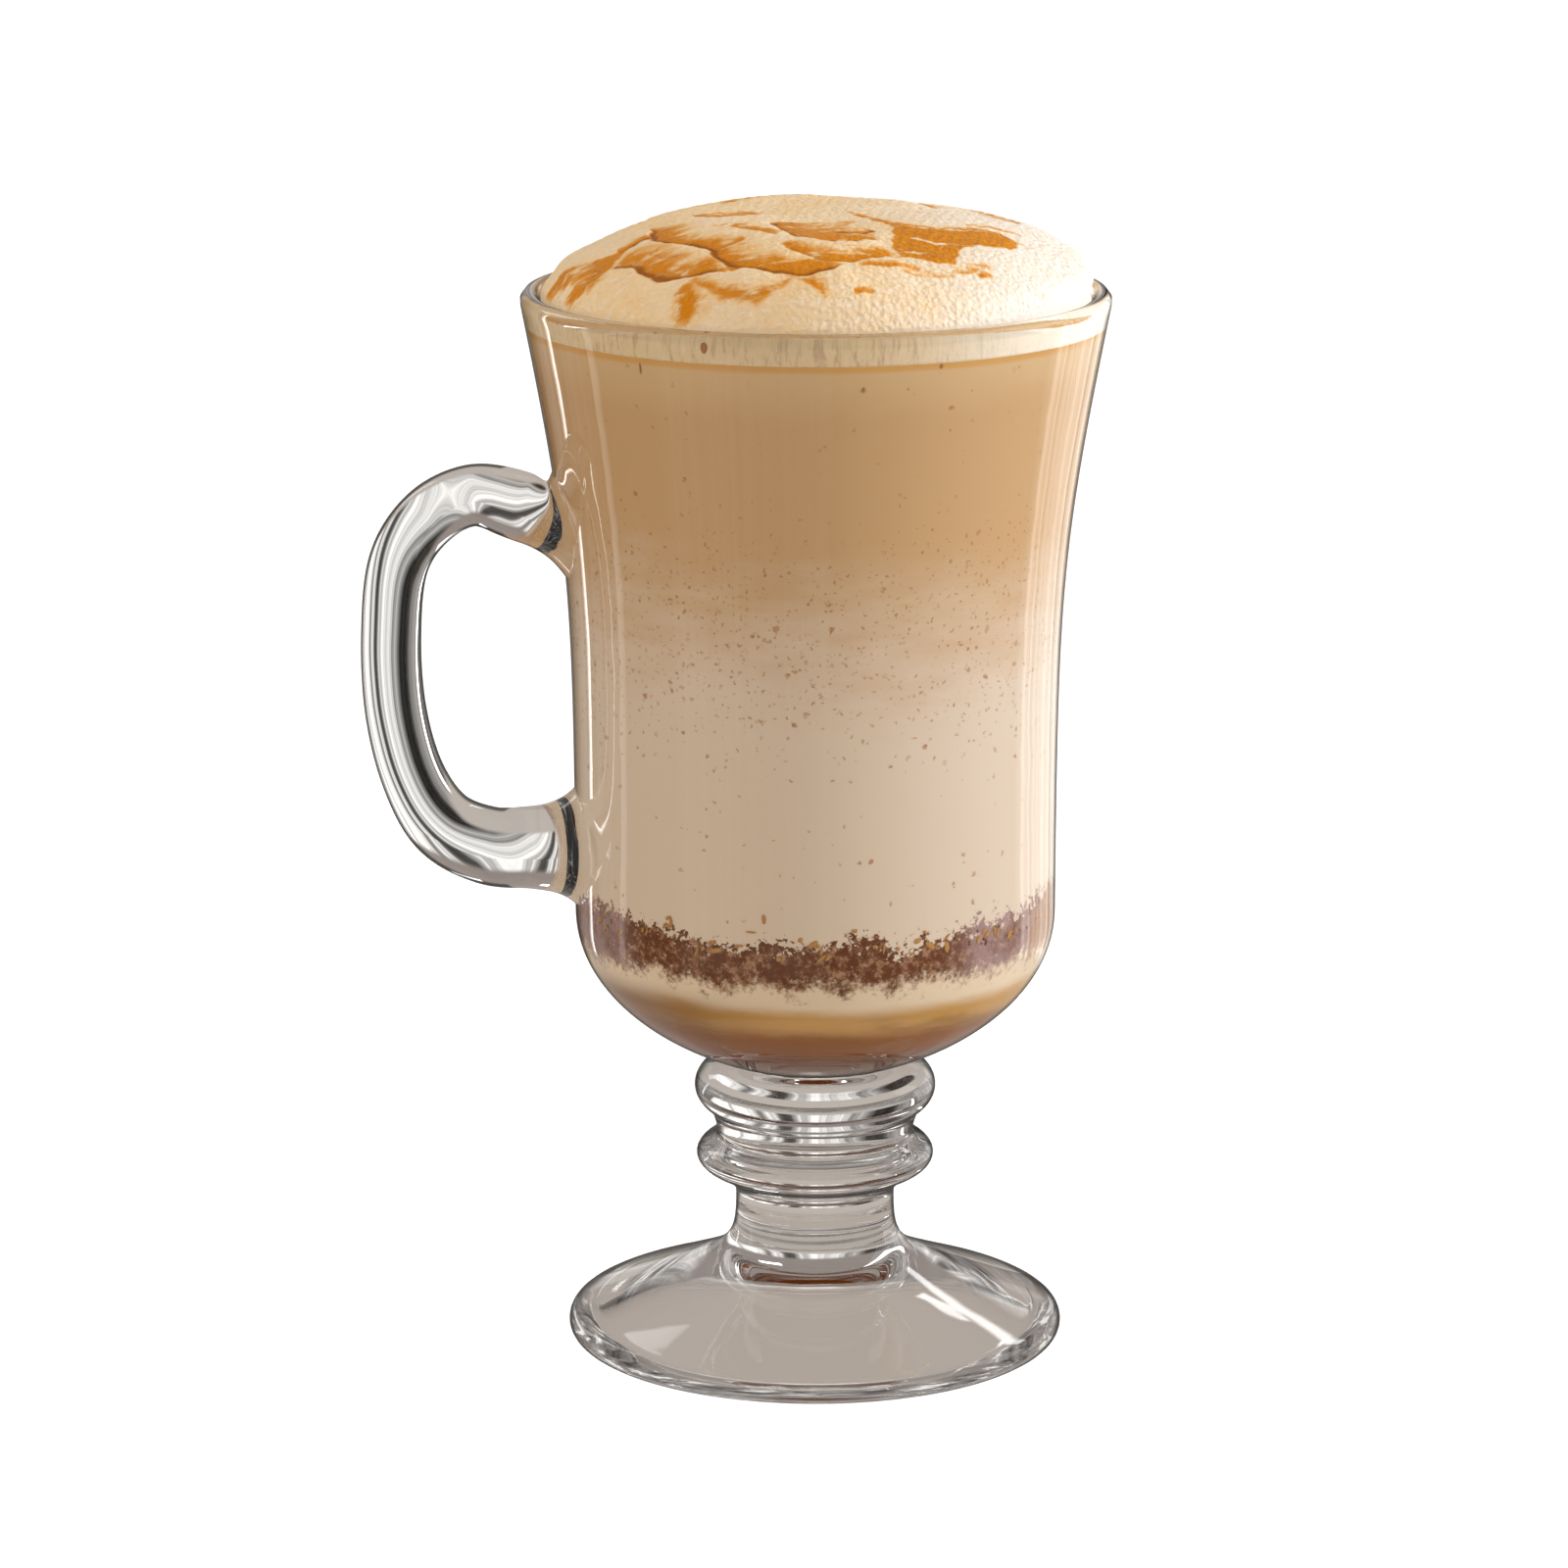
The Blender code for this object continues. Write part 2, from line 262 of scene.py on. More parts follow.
class Bench:
    """A node tree being wired up, with short ways to add and join nodes."""

    def __init__(self, tree: Tree) -> None:
        """Keeps the tree that the nodes go into."""
        self.tree = tree
        self.nodes = tree.nodes

    def feed(self, node: Node, values: dict) -> None:
        """Sets a node's inputs, or links those whose value is an output.

        Args:
            node: Node that takes the values.
            values: Socket name or number to a plain value or an output socket.
        """
        for key, value in values.items():
            socket = node.inputs[key]
            if isinstance(value, Socket):
                self.tree.links.new(value, socket)
            elif isinstance(value, tuple) and len(value) == 3 and len(socket.default_value) == 4:
                socket.default_value = (*value, 1.0)
            else:
                socket.default_value = value

    def add(self, kind: str, values: dict | None = None, **settings: object) -> Node:
        """Adds a node.

        Args:
            kind: Node type.
            values: Socket name or number to a value or to another node's output.
            **settings: Properties of the node itself.

        Returns:
            The new node.
        """
        node = self.nodes.new(kind)
        for key, setting in settings.items():
            setattr(node, key, setting)
        self.feed(node, values or {})
        return node

    def math(self, operation: str, *values: object) -> Socket:
        """Adds a Math node and returns its result."""
        return self.add("ShaderNodeMath", dict(enumerate(values)), operation=operation).outputs[0]

    def times(self, first: object, second: object) -> Socket:
        """Multiplies two numbers."""
        return self.math("MULTIPLY", first, second)

    def sum_of(self, first: object, second: object, third: object) -> Socket:
        """Multiplies the first two numbers and adds the third."""
        return self.math("MULTIPLY_ADD", first, second, third)

    def away(self, x: object, y: object) -> Socket:
        """Distance of a place from the upright line through the origin."""
        return self.math("SQRT", self.sum_of(x, x, self.times(y, y)))

    def blend(self, factor: object, low: object, high: object) -> Socket:
        """Mixes two colours, with the factor as the second one's share."""
        return self.add("ShaderNodeMix", {0: factor, 6: low, 7: high}, data_type="RGBA").outputs[2]

    def grade(self, value: object, low: float, high: float, start: float = 0.0,
              end: float = 1.0) -> Socket:
        """Maps a value softly, low to start and high to end."""
        return self.add("ShaderNodeMapRange", {0: value, 1: low, 2: high, 3: start, 4: end},
                        interpolation_type="SMOOTHSTEP").outputs[0]

    def over(self, under: object, above: object, value: Socket, low: float, high: float,
             most: float = 1.0) -> Socket:
        """Lays a colour over another where a value has passed from low to high."""
        return self.blend(self.grade(value, low, high, 0.0, most), under, above)

    def noise(self, place: object, scale: float, detail: float = 3.0, roughness: float = 0.5) -> Socket:
        """Adds a noise pattern and returns its value."""
        return self.add("ShaderNodeTexNoise", {"Vector": place, "Scale": scale, "Detail": detail,
                                               "Roughness": roughness}).outputs[0]

    def place(self) -> tuple[Socket, Socket, Socket, Socket]:
        """The object's own coordinates, whole and as X, Y and Z."""
        whole = self.add("ShaderNodeTexCoord").outputs["Object"]
        return whole, *self.add("ShaderNodeSeparateXYZ", {0: whole}).outputs

    def scaled(self, place: Socket, scale: Triple) -> Socket:
        """Coordinates scaled along each axis, so that a pattern is drawn out."""
        return self.add("ShaderNodeMapping", {"Vector": place, "Scale": scale}).outputs[0]

    def bump(self, height: Socket, depth: float, strength: float = 1.0) -> Socket:
        """Turns a relief into a normal; the depth is in millimetres."""
        return self.add("ShaderNodeBump", {"Strength": strength, "Distance": depth * MM,
                                           "Height": height}).outputs[0]

    def either(self, share: object, first: Socket, second: Socket) -> Socket:
        """Mixes two shaders, with the share as the second one's."""
        return self.add("ShaderNodeMixShader", {0: share, 1: first, 2: second}).outputs[0]

    def glow(self, colour: object, kind: str = "ShaderNodeEmission") -> Socket:
        """Adds a shader that glows in a colour."""
        return self.add(kind, {0: colour, 1: 1.0}).outputs[0]


def new_group(name: str, inputs: dict[str, float], outputs: dict[str, str]) -> tuple[
        Tree, Bench, Node, Node]:
    """Starts a shader node group.

    Args:
        name: Name of the group.
        inputs: Names of number inputs and their values.
        outputs: Names of outputs and their socket types.

    Returns:
        The group, a bench on it, its input node and its output node.
    """
    group = bpy.data.node_groups.new(name, "ShaderNodeTree")
    for label, value in inputs.items():
        socket = group.interface.new_socket(label, in_out="INPUT", socket_type="NodeSocketFloat")
        socket.default_value = value
    for label, kind in outputs.items():
        group.interface.new_socket(label, in_out="OUTPUT", socket_type=kind)
    bench = Bench(group)
    return group, bench, bench.add("NodeGroupInput"), bench.add("NodeGroupOutput")


def new_material(name: str, values: dict) -> tuple[Material, Bench, Node]:
    """Starts a material.

    Args:
        name: Name of the material.
        values: Plain values of its Principled node.

    Returns:
        The material, a bench on its tree and its Principled node.
    """
    material = bpy.data.materials.new(name)
    material.use_nodes = True
    bench = Bench(material.node_tree)
    shader = bench.nodes["Principled BSDF"]
    bench.feed(shader, {"Metallic": 0.0, **values})
    return material, bench, shader


def dull_material(name: str, colour: Colour, roughness: float) -> Material:
    """Makes a material of one colour with hardly any gloss."""
    return new_material(name, {"Base Color": colour, "Roughness": roughness,
                               "Specular IOR Level": 0.1})[0]


@dataclass(frozen=True)
class BowlForm:
    """The bowl's surface of revolution, shared by the glass and what fills it."""

    lip_height: float = 140.0
    lip_round: float = 1.3
    wall: float = 2.6
    belly: float = 31.45
    flare_slope: float = 0.2
    flare_height: float = 106.0
    flare_softness: float = 9.4
    shoulder: float = 58.2
    floor_outside: float = 35.9
    floor_inside: float = 40.0
    round_sideways: float = 1.7
    round_downward: float = 2.06

    def flare(self, height: Array) -> Array:
        """How far the side has swung out at each height."""
        softened_rise = np.log1p(np.exp((height - self.flare_height) / self.flare_softness))
        return self.flare_slope * self.flare_softness * softened_rise

    def belly_and_floor(self, side: Side, proud: float) -> Point:
        """The bowl's two bounds on one side.

        Args:
            side: Inner or outer surface.
            proud: How far outside that surface the result lies.

        Returns:
            Radius at the shoulder and height of the floor.
        """
        if side is Side.INNER:
            return self.belly - self.wall + proud, self.floor_inside - proud
        return self.belly + proud, self.floor_outside - proud

    def radius(self, height: Array, side: Side, proud: float = 0.0) -> Array:
        """Radius of the bowl's inner or outer surface.

        Args:
            height: Heights to read it at.
            side: Inner or outer surface.
            proud: How far outside that surface the result lies.

        Returns:
            Radii in millimetres.
        """
        height = np.asarray(height, float)
        belly, floor = self.belly_and_floor(side, proud)
        depth = np.clip((self.shoulder - height) / (self.shoulder - floor), 0.0, 1.0)
        low = belly * (1.0 - depth ** self.round_downward) ** (1.0 / self.round_sideways)
        high = belly + self.flare(height) - self.flare(self.shoulder)
        return np.where(height >= self.shoulder, high, low)

    def bottom(self, side: Side, first: float, last: float, count: int, proud: float = 0.0) -> Profile:
        """Points round the bowl's bottom.

        Args:
            side: Inner or outer surface.
            first: Starting angle in degrees, 0 at the shoulder and 90 on the axis.
            last: Ending angle.
            count: Number of points.
            proud: How far outside that surface they lie.

        Returns:
            Radius and height pairs.
        """
        belly, floor = self.belly_and_floor(side, proud)
        angles = np.radians(np.linspace(first, last, count))
        radii = belly * np.abs(np.cos(angles)) ** (2.0 / self.round_sideways)
        heights = self.shoulder - (self.shoulder - floor) * np.sin(angles) ** (2.0 / self.round_downward)
        return list(zip(radii, heights))


BOWL = BowlForm()


@dataclass(frozen=True)
class ClearGlass:
    """Clear pressed glass with a hardly visible waviness.

    A path that is lost in the glass ends in a painted glow of streaks round the axis. Glass seen
    edge-on gets a painted dark line, painted shade in a wider line on the handle, the stem and the foot's
    edge.
    """

    axis_x: float
    tint: Colour = (0.985, 0.99, 0.985)
    roughness: float = 0.01
    ior: float = 1.5
    light_passed: float = 0.94
    wave_scale: float = 70.0
    wave_depth: float = 0.12
    deepest: float = 3.5
    streak_scale: float = 420.0
    streak_turn: float = 0.004
    # Colours of the painted glow that stands in for light refracted through the glass.
    glow_streak_dark: Colour = (0.05, 0.046, 0.043)
    glow_streak_middle: Colour = (0.27, 0.245, 0.23)
    glow_streak_light: Colour = (0.95, 0.93, 0.9)
    bowl_from: float = 40.0
    bowl_glow_dark: Colour = (0.02, 0.019, 0.018)
    bowl_glow_light: Colour = (0.3, 0.28, 0.26)
    # The painted dark line: painted shade drawn along the glass's edges.
    edge_shade_strength: float = 0.85
    edge_shade_colour: Colour = (0.03, 0.028, 0.026)
    handle_from: float = 39.5
    handle_widening: float = 0.26
    stem_low: float = 13.0
    stem_high: float = 37.0
    foot_edge: float = 3.8
    stem_widening: float = 0.14

    def lost_light(self, bench: Bench, bearing: Socket, away: Socket, height: Socket) -> Socket:
        """The painted glow where a lost path ends, standing in for light and shade seen through the glass.

        Args:
            bench: Bench of the material.
            bearing: Angle round the axis.
            away: Distance from the axis in metres.
            height: Height in metres.

        Returns:
            The glow's shader.
        """
        round_it = bench.add("ShaderNodeCombineXYZ", {
            0: bench.times(bearing, self.streak_turn), 1: away, 2: height})
        streak = bench.noise(round_it.outputs[0], self.streak_scale, 5.0, 0.7)
        low = bench.over(self.glow_streak_dark, self.glow_streak_middle, streak, 0.36, 0.52)
        low = bench.over(low, self.glow_streak_light, streak, 0.53, 0.62)
        high = bench.over(self.bowl_glow_dark, self.bowl_glow_light, streak, 0.5, 0.7)
        in_bowl = bench.grade(height, self.bowl_from * MM, (self.bowl_from + 10.0) * MM)
        return bench.glow(bench.blend(in_bowl, low, high))

    def edge(self, bench: Bench, away: Socket, height: Socket) -> Socket:
        """How strongly the painted dark line, painted shade, covers the glass towards its edges.

        Args:
            bench: Bench of the material.
            away: Distance from the axis in metres.
            height: Height in metres.

        Returns:
            The dark line's share.
        """
        facing = bench.add("ShaderNodeLayerWeight", {"Blend": 0.5}).outputs["Facing"]
        handle = bench.grade(away, self.handle_from * MM, (self.handle_from + 1.5) * MM)
        stem = bench.times(bench.grade(height, (self.stem_high + 3.0) * MM, self.stem_high * MM),
                           bench.grade(height, self.stem_low * MM, (self.stem_low + 3.0) * MM))
        foot = bench.grade(height, (self.foot_edge + 1.0) * MM, self.foot_edge * MM)
        widened = bench.sum_of(handle, self.handle_widening, bench.times(
            bench.math("MAXIMUM", stem, foot), self.stem_widening))
        return bench.grade(bench.math("ADD", widened, facing), 0.8, 0.96, 0.0, self.edge_shade_strength)

    def material(self) -> Material:
        """Makes the glass, which lets soft light straight through.

        Returns:
            The material.
        """
        material, bench, shader = new_material("pressed_glass", {
            "Base Color": self.tint, "Roughness": self.roughness, "IOR": self.ior,
            "Transmission Weight": 1.0})
        place, x, y, height = bench.place()
        wave = bench.noise(place, self.wave_scale, 2.0)
        bench.feed(shader, {"Normal": bench.bump(wave, self.wave_depth)})
        path = bench.add("ShaderNodeLightPath").outputs
        passing = bench.math("MAXIMUM", path["Is Shadow Ray"], path["Is Diffuse Ray"])
        straight = bench.add("ShaderNodeBsdfTransparent", {0: (self.light_passed,) * 3})
        clear = bench.either(passing, shader.outputs[0], straight.outputs[0])
        x = bench.math("SUBTRACT", x, self.axis_x * MM)
        away = bench.away(x, y)
        lost = bench.math("GREATER_THAN", path["Glossy Depth"], self.deepest)
        # Paths lost in the glass after many bounces end in a painted glow of streaks instead of what they
        # would see.
        whole = bench.either(lost, clear, self.lost_light(
            bench, bench.math("ARCTAN2", x, y), away, height))
        # Painted shade: the camera sees a dark line at the glass's edges, in place of the dark
        # surroundings refracted there.
        edge = bench.times(self.edge(bench, away, height), path["Is Camera Ray"])
        drawn = bench.either(edge, whole, bench.glow(self.edge_shade_colour))
        bench.feed(bench.nodes["Material Output"], {0: drawn})
        return material


@dataclass(frozen=True)
class Level:
    """A height at which the drink changes to the colour above it."""

    height: float
    softness: float
    slow: float
    fine: float
    above: Colour


@dataclass(frozen=True)
class Specks:
    """One size of the cocoa specks in the milk."""

    scale: float
    crowd: float
    stray: float
    size: float


@dataclass(frozen=True)
class DrinkColours:
    """The colours of the drink from the glass floor to the foam."""

    axis_x: float
    deepest: Colour = (0.1, 0.024, 0.001)
    lower: tuple[Level, ...] = (
        Level(45.0, 2.6, 1.2, 1.2, (0.2, 0.06, 0.007)),
        Level(48.4, 2.6, 1.0, 1.2, (0.44, 0.225, 0.062)),
        Level(51.7, 2.2, 0.7, 1.1, (0.6, 0.44, 0.28)),
    )
    cocoa_foot: Level = Level(55.0, 2.6, 1.2, 3.2, (0.115, 0.038, 0.0145))
    cocoa_top: Level = Level(60.2, 0.25, 2.6, 4.6, (0.555, 0.415, 0.29))
    cocoa_climb: float = 2.2
    bowl_reach: float = 28.0
    upper_tilt: float = 0.05
    upper: tuple[Level, ...] = (
        Level(101.5, 28.0, 7.0, 8.0, (0.45, 0.26, 0.115)),
        Level(131.5, 7.0, 2.0, 1.5, (0.5, 0.31, 0.145)),
        Level(135.2, 0.7, 0.2, 0.3, (0.5, 0.25, 0.07)),
        Level(136.05, 0.35, 0.1, 0.2, (0.56, 0.4, 0.24)),
    )
    cocoa_pale: Colour = (0.34, 0.17, 0.09)
    cocoa_mauve: Colour = (0.33, 0.21, 0.18)
    patch: Colour = (0.28, 0.13, 0.05)
    patch_reach: float = 27.5
    speck: Colour = (0.29, 0.115, 0.03)
    speck_kinds: tuple[Specks, ...] = (Specks(750.0, 0.36, 0.05, 0.15), Specks(1400.0, 0.62, 0.03, 0.2))
    speck_bend: float = 1.1
    specks_low: float = 90.0
    specks_high: float = 112.0

    def step(self, bench: Bench, level: Level, height: Socket, uneven: tuple[Socket, Socket],
             below: object, above: object) -> Socket:
        """Changes from one colour to the next at a wandering level.

        Args:
            bench: Bench of the group.
            level: Where and how the colour changes.
            height: Height in millimetres.
            uneven: Slow and fine unevenness from -1 to 1.
            below: Colour below the level.
            above: Colour above it.

        Returns:
            The mixed colour.
        """
        wandering = bench.sum_of(uneven[0], level.slow, height)
        wandering = bench.sum_of(uneven[1], level.fine, wandering)
        share = bench.grade(wandering, level.height - level.softness / 2,
                            level.height + level.softness / 2)
        return bench.blend(share, below, above)

    def cocoa(self, bench: Bench, place: Socket, aside: Socket) -> Socket:
        """The mottled colour of the cocoa.

        Args:
            bench: Bench of the group.
            place: Object coordinates.
            aside: Distance from the axis along X in millimetres.

        Returns:
            The cocoa's colour.
        """
        mottle = bench.noise(place, 800.0, 8.0, 0.75)
        colour = bench.over(self.cocoa_foot.above, self.cocoa_pale, mottle, 0.46, 0.66)
        drift = bench.noise(place, 150.0, 4.0, 0.6)
        outward = bench.math("MAXIMUM", bench.grade(aside, -23.0, -27.0, 0.0, 0.75),
                             bench.grade(aside, 12.0, 19.0, 0.0, 0.75))
        veil = bench.times(outward, bench.grade(drift, 0.3, 0.6, 0.25, 1.0))
        colour = bench.blend(veil, colour, self.cocoa_mauve)
        patch = bench.grade(bench.sum_of(drift, 8.0, aside), self.patch_reach, self.patch_reach + 3.5)
        colour = bench.blend(patch, colour, self.patch)
        crumbs = bench.noise(place, 1100.0, 4.0, 0.6)
        return bench.over(colour, self.cocoa_top.above, crumbs, 0.62, 0.72, 0.6)

    def specks(self, bench: Bench, place: Socket, height: Socket, kind: Specks) -> Socket:
        """Fine cocoa specks that float in the milk.

        Args:
            bench: Bench of the group.
            place: Object coordinates.
            height: Height in millimetres.
            kind: How large and how frequent the specks are.

        Returns:
            The specks' share.
        """
        warp = bench.add("ShaderNodeTexNoise", {"Vector": place, "Scale": 1600.0})
        bent = bench.add("ShaderNodeVectorMath", {
            0: warp.outputs["Color"], 1: (self.speck_bend * MM,) * 3, 2: place},
            operation="MULTIPLY_ADD")
        cells = bench.add("ShaderNodeTexVoronoi", {"Vector": bent.outputs[0], "Scale": kind.scale})
        chance = bench.add("ShaderNodeSeparateXYZ", {0: cells.outputs["Color"]}).outputs
        up = bench.grade(height, self.specks_low - 12.0, self.specks_low + 6.0)
        down = bench.grade(height, self.specks_high + 8.0, self.specks_high - 8.0)
        few = bench.sum_of(bench.times(up, down), kind.crowd, kind.stray)
        chosen = bench.math("LESS_THAN", chance[0], few)
        near = bench.math("SUBTRACT", bench.sum_of(chance[1], 0.17, kind.size),
                          cells.outputs["Distance"])
        dot = bench.times(bench.grade(near, 0.0, 0.08), bench.sum_of(chance[2], 0.5, 0.25))
        return bench.times(bench.times(dot, chosen), bench.grade(height, 60.0, 62.0))

    def group(self) -> Tree:
        """Builds the node group that every layer takes its colour from.

        Returns:
            A group with the output Colour.
        """
        group, bench, _, sink = new_group("drink_colours", {}, {"Colour": "NodeSocketColor"})
        place, x, _, z = bench.place()
        height = bench.times(z, 1.0 / MM)
        aside = bench.sum_of(x, 1.0 / MM, -self.axis_x)
        slow = bench.sum_of(bench.noise(place, 55.0, 2.0), 2.0, -1.0)
        streak = bench.noise(bench.scaled(place, (1.0, 1.0, 4.0)), 80.0, 5.0, 0.6)
        streak = bench.sum_of(streak, 2.0, -1.0)
        crumb = bench.math("ADD", *(bench.noise(place, scale, 4.0, 0.7) for scale in (260.0, 1300.0)))
        crumb = bench.sum_of(crumb, 2.0, -2.0)
        colour: object = self.deepest
        for level in self.lower:
            colour = self.step(bench, level, height, (slow, streak), colour, level.above)
        # The lower layers darken towards the left side.
        left_darkening = bench.times(bench.grade(aside, -4.0, -26.0, 0.0, 0.75),
                            bench.grade(height, 54.5, 50.5))
        swirl = bench.times(bench.grade(streak, -0.05, 0.45, 0.0, 0.5),
                            bench.grade(height, 52.0, 49.0))
        for share in (left_darkening, swirl):
            colour = bench.blend(share, colour, self.deepest)
        cocoa = self.cocoa(bench, place, aside)
        colour = self.step(bench, self.cocoa_foot, height, (slow, crumb), colour, cocoa)
        outward = bench.times(bench.math("ABSOLUTE", aside), 1.0 / self.bowl_reach)
        sunk = bench.sum_of(bench.math("POWER", outward, 3.0), -self.cocoa_climb, height)
        colour = self.step(bench, self.cocoa_top, sunk, (slow, crumb), colour, self.cocoa_top.above)
        tilted = bench.sum_of(aside, self.upper_tilt, height)
        for level, level_height in zip(self.upper, (tilted, height, height, height)):
            colour = self.step(bench, level, level_height, (slow, streak), colour, level.above)
        for kind in self.speck_kinds:
            colour = bench.blend(self.specks(bench, place, height, kind), colour, self.speck)
        bench.feed(sink, {"Colour": colour})
        return group


@dataclass(frozen=True)
class DrinkFinish:
    """One layer's own gloss round the shared colours."""

    name: str
    slot: str
    roughness: float

    def material(self, colours: Tree) -> Material:
        """Makes the layer's material.

        Args:
            colours: The shared colour group.

        Returns:
            The material.
        """
        material, bench, shader = new_material(self.name, {
            "Roughness": self.roughness, "Specular IOR Level": 0.1})
        mixed = bench.add("ShaderNodeGroup", node_tree=colours)
        bench.feed(shader, {"Base Color": mixed.outputs["Colour"]})
        return material


@dataclass
class WallFlecks:
    """Loose flecks of amber or cocoa that cling to the wall above the cocoa."""

    axis_x: float
    name: str
    slot: str
    colour: Colour
    lowest: float
    highest: float
    density: float
    size: float
    seed: int
    sunk: float = 0.2
    rings: int = 12
    steps: int = 160
    thinning: float = 2.5
    chip: Triple = (1.0, 0.6, 0.18)
    smallest: Triple = (0.3, 0.3, 0.6)
    largest: Triple = (1.3, 1.0, 1.0)

    def band(self) -> Piece:
        """A narrow open band on the bowl's inner surface, where the flecks cling.

        Returns:
            The band.
        """
        heights = np.linspace(self.lowest, self.highest, self.rings)
        radii = BOWL.radius(heights, Side.INNER, self.sunk)
        angles = np.arange(self.steps) * math.tau / self.steps
        faces = [(i * self.steps + j, i * self.steps + (j + 1) % self.steps,
                  (i + 1) * self.steps + (j + 1) % self.steps, (i + 1) * self.steps + j)
                 for i in range(self.rings - 1) for j in range(self.steps)]
        return mesh_object(self.name, ring_places(radii, heights, angles, self.axis_x), faces)

    def tree(self, material: Material) -> Tree:
        """Builds the Geometry Nodes tree that scatters the flecks.

        Args:
            material: The flecks' material.

        Returns:
            The tree, with the inputs Density, Size and Seed.
        """
        tree = bpy.data.node_groups.new(f"scatter_{self.name}", "GeometryNodeTree")
        for label, kind in (("Geometry", "Geometry"), ("Density", "Float"), ("Size", "Float"),
                            ("Seed", "Int")):
            tree.interface.new_socket(label, in_out="INPUT", socket_type=f"NodeSocket{kind}")
        tree.interface.new_socket("Geometry", in_out="OUTPUT", socket_type="NodeSocketGeometry")
        bench = Bench(tree)
        source = bench.add("NodeGroupInput").outputs
        sink = bench.add("NodeGroupOutput")
        seed = source["Seed"]
        height = bench.add("ShaderNodeSeparateXYZ", {0: bench.add("GeometryNodeInputPosition").outputs[0]})
        share = bench.add("ShaderNodeMapRange", {
            0: height.outputs[2], 1: self.lowest * MM, 2: self.highest * MM, 3: 1.0, 4: 0.0})
        thick = bench.times(bench.math("POWER", share.outputs[0], self.thinning), source["Density"])
        points = bench.add("GeometryNodeDistributePointsOnFaces", {
            "Mesh": source["Geometry"], "Density": thick, "Seed": seed})
        chip = bench.add("GeometryNodeMeshIcoSphere", {"Radius": 1.0, "Subdivisions": 1})
        flat = bench.add("GeometryNodeTransform", {"Geometry": chip.outputs[0], "Scale": self.chip})
        spin, growth = (
            bench.add("FunctionNodeRandomValue", {"Min": low, "Max": high, "Seed": seed},
                      data_type="FLOAT_VECTOR").outputs["Value"]
            for low, high in (((0.0, 0.0, -math.pi), (0.0, 0.0, math.pi)),
                              (self.smallest, self.largest)))
        turned = bench.add("FunctionNodeRotateRotation", {0: points.outputs["Rotation"], 1: spin},
                           rotation_space="LOCAL")
        grown = bench.add("ShaderNodeVectorMath", {0: growth, "Scale": source["Size"]},
                          operation="SCALE")
        chips = bench.add("GeometryNodeInstanceOnPoints", {
            "Points": points.outputs["Points"], "Instance": flat.outputs[0],
            "Rotation": turned.outputs[0], "Scale": grown.outputs[0]})
        real = bench.add("GeometryNodeRealizeInstances", {0: chips.outputs[0]})
        dressed = bench.add("GeometryNodeSetMaterial", {
            "Geometry": real.outputs[0], "Material": material})
        bench.feed(sink, {0: dressed.outputs[0]})
        return tree

    def build(self) -> Piece:
        """Scatters the flecks and makes them one plain piece.

        Returns:
            The finished piece.
        """
        material = dull_material(f"{self.name}_look", self.colour, 0.6)
        flecks = self.band()
        tree = self.tree(material)
        scatter = flecks.modifiers.new("scatter", "NODES")
        scatter.node_group = tree
        values = {"Density": self.density / MM ** 2, "Size": self.size * MM, "Seed": self.seed}
        for item in tree.interface.items_tree:
            if item.in_out == "INPUT" and item.name in values:
                scatter[item.identifier] = values[item.name]
        made_plain(flecks)
        if not flecks.data.materials:
            flecks.data.materials.append(material)
        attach(flecks, BODY)
        return flecks


@dataclass(frozen=True)
class Bead:
    """A round ring of glass on the stem."""

    radius: float
    height: float
    half_width: float
    half_height: float
    arc: float = 58.0

    def points(self) -> Profile:
        """Points round the bead, from its top to its underside.

        Returns:
            Radius and height pairs.
        """
        return [(self.radius - self.half_width + self.half_width * math.cos(a),
                 self.height + self.half_height * math.sin(a))
                for a in np.radians(np.linspace(self.arc, -self.arc, 24))]


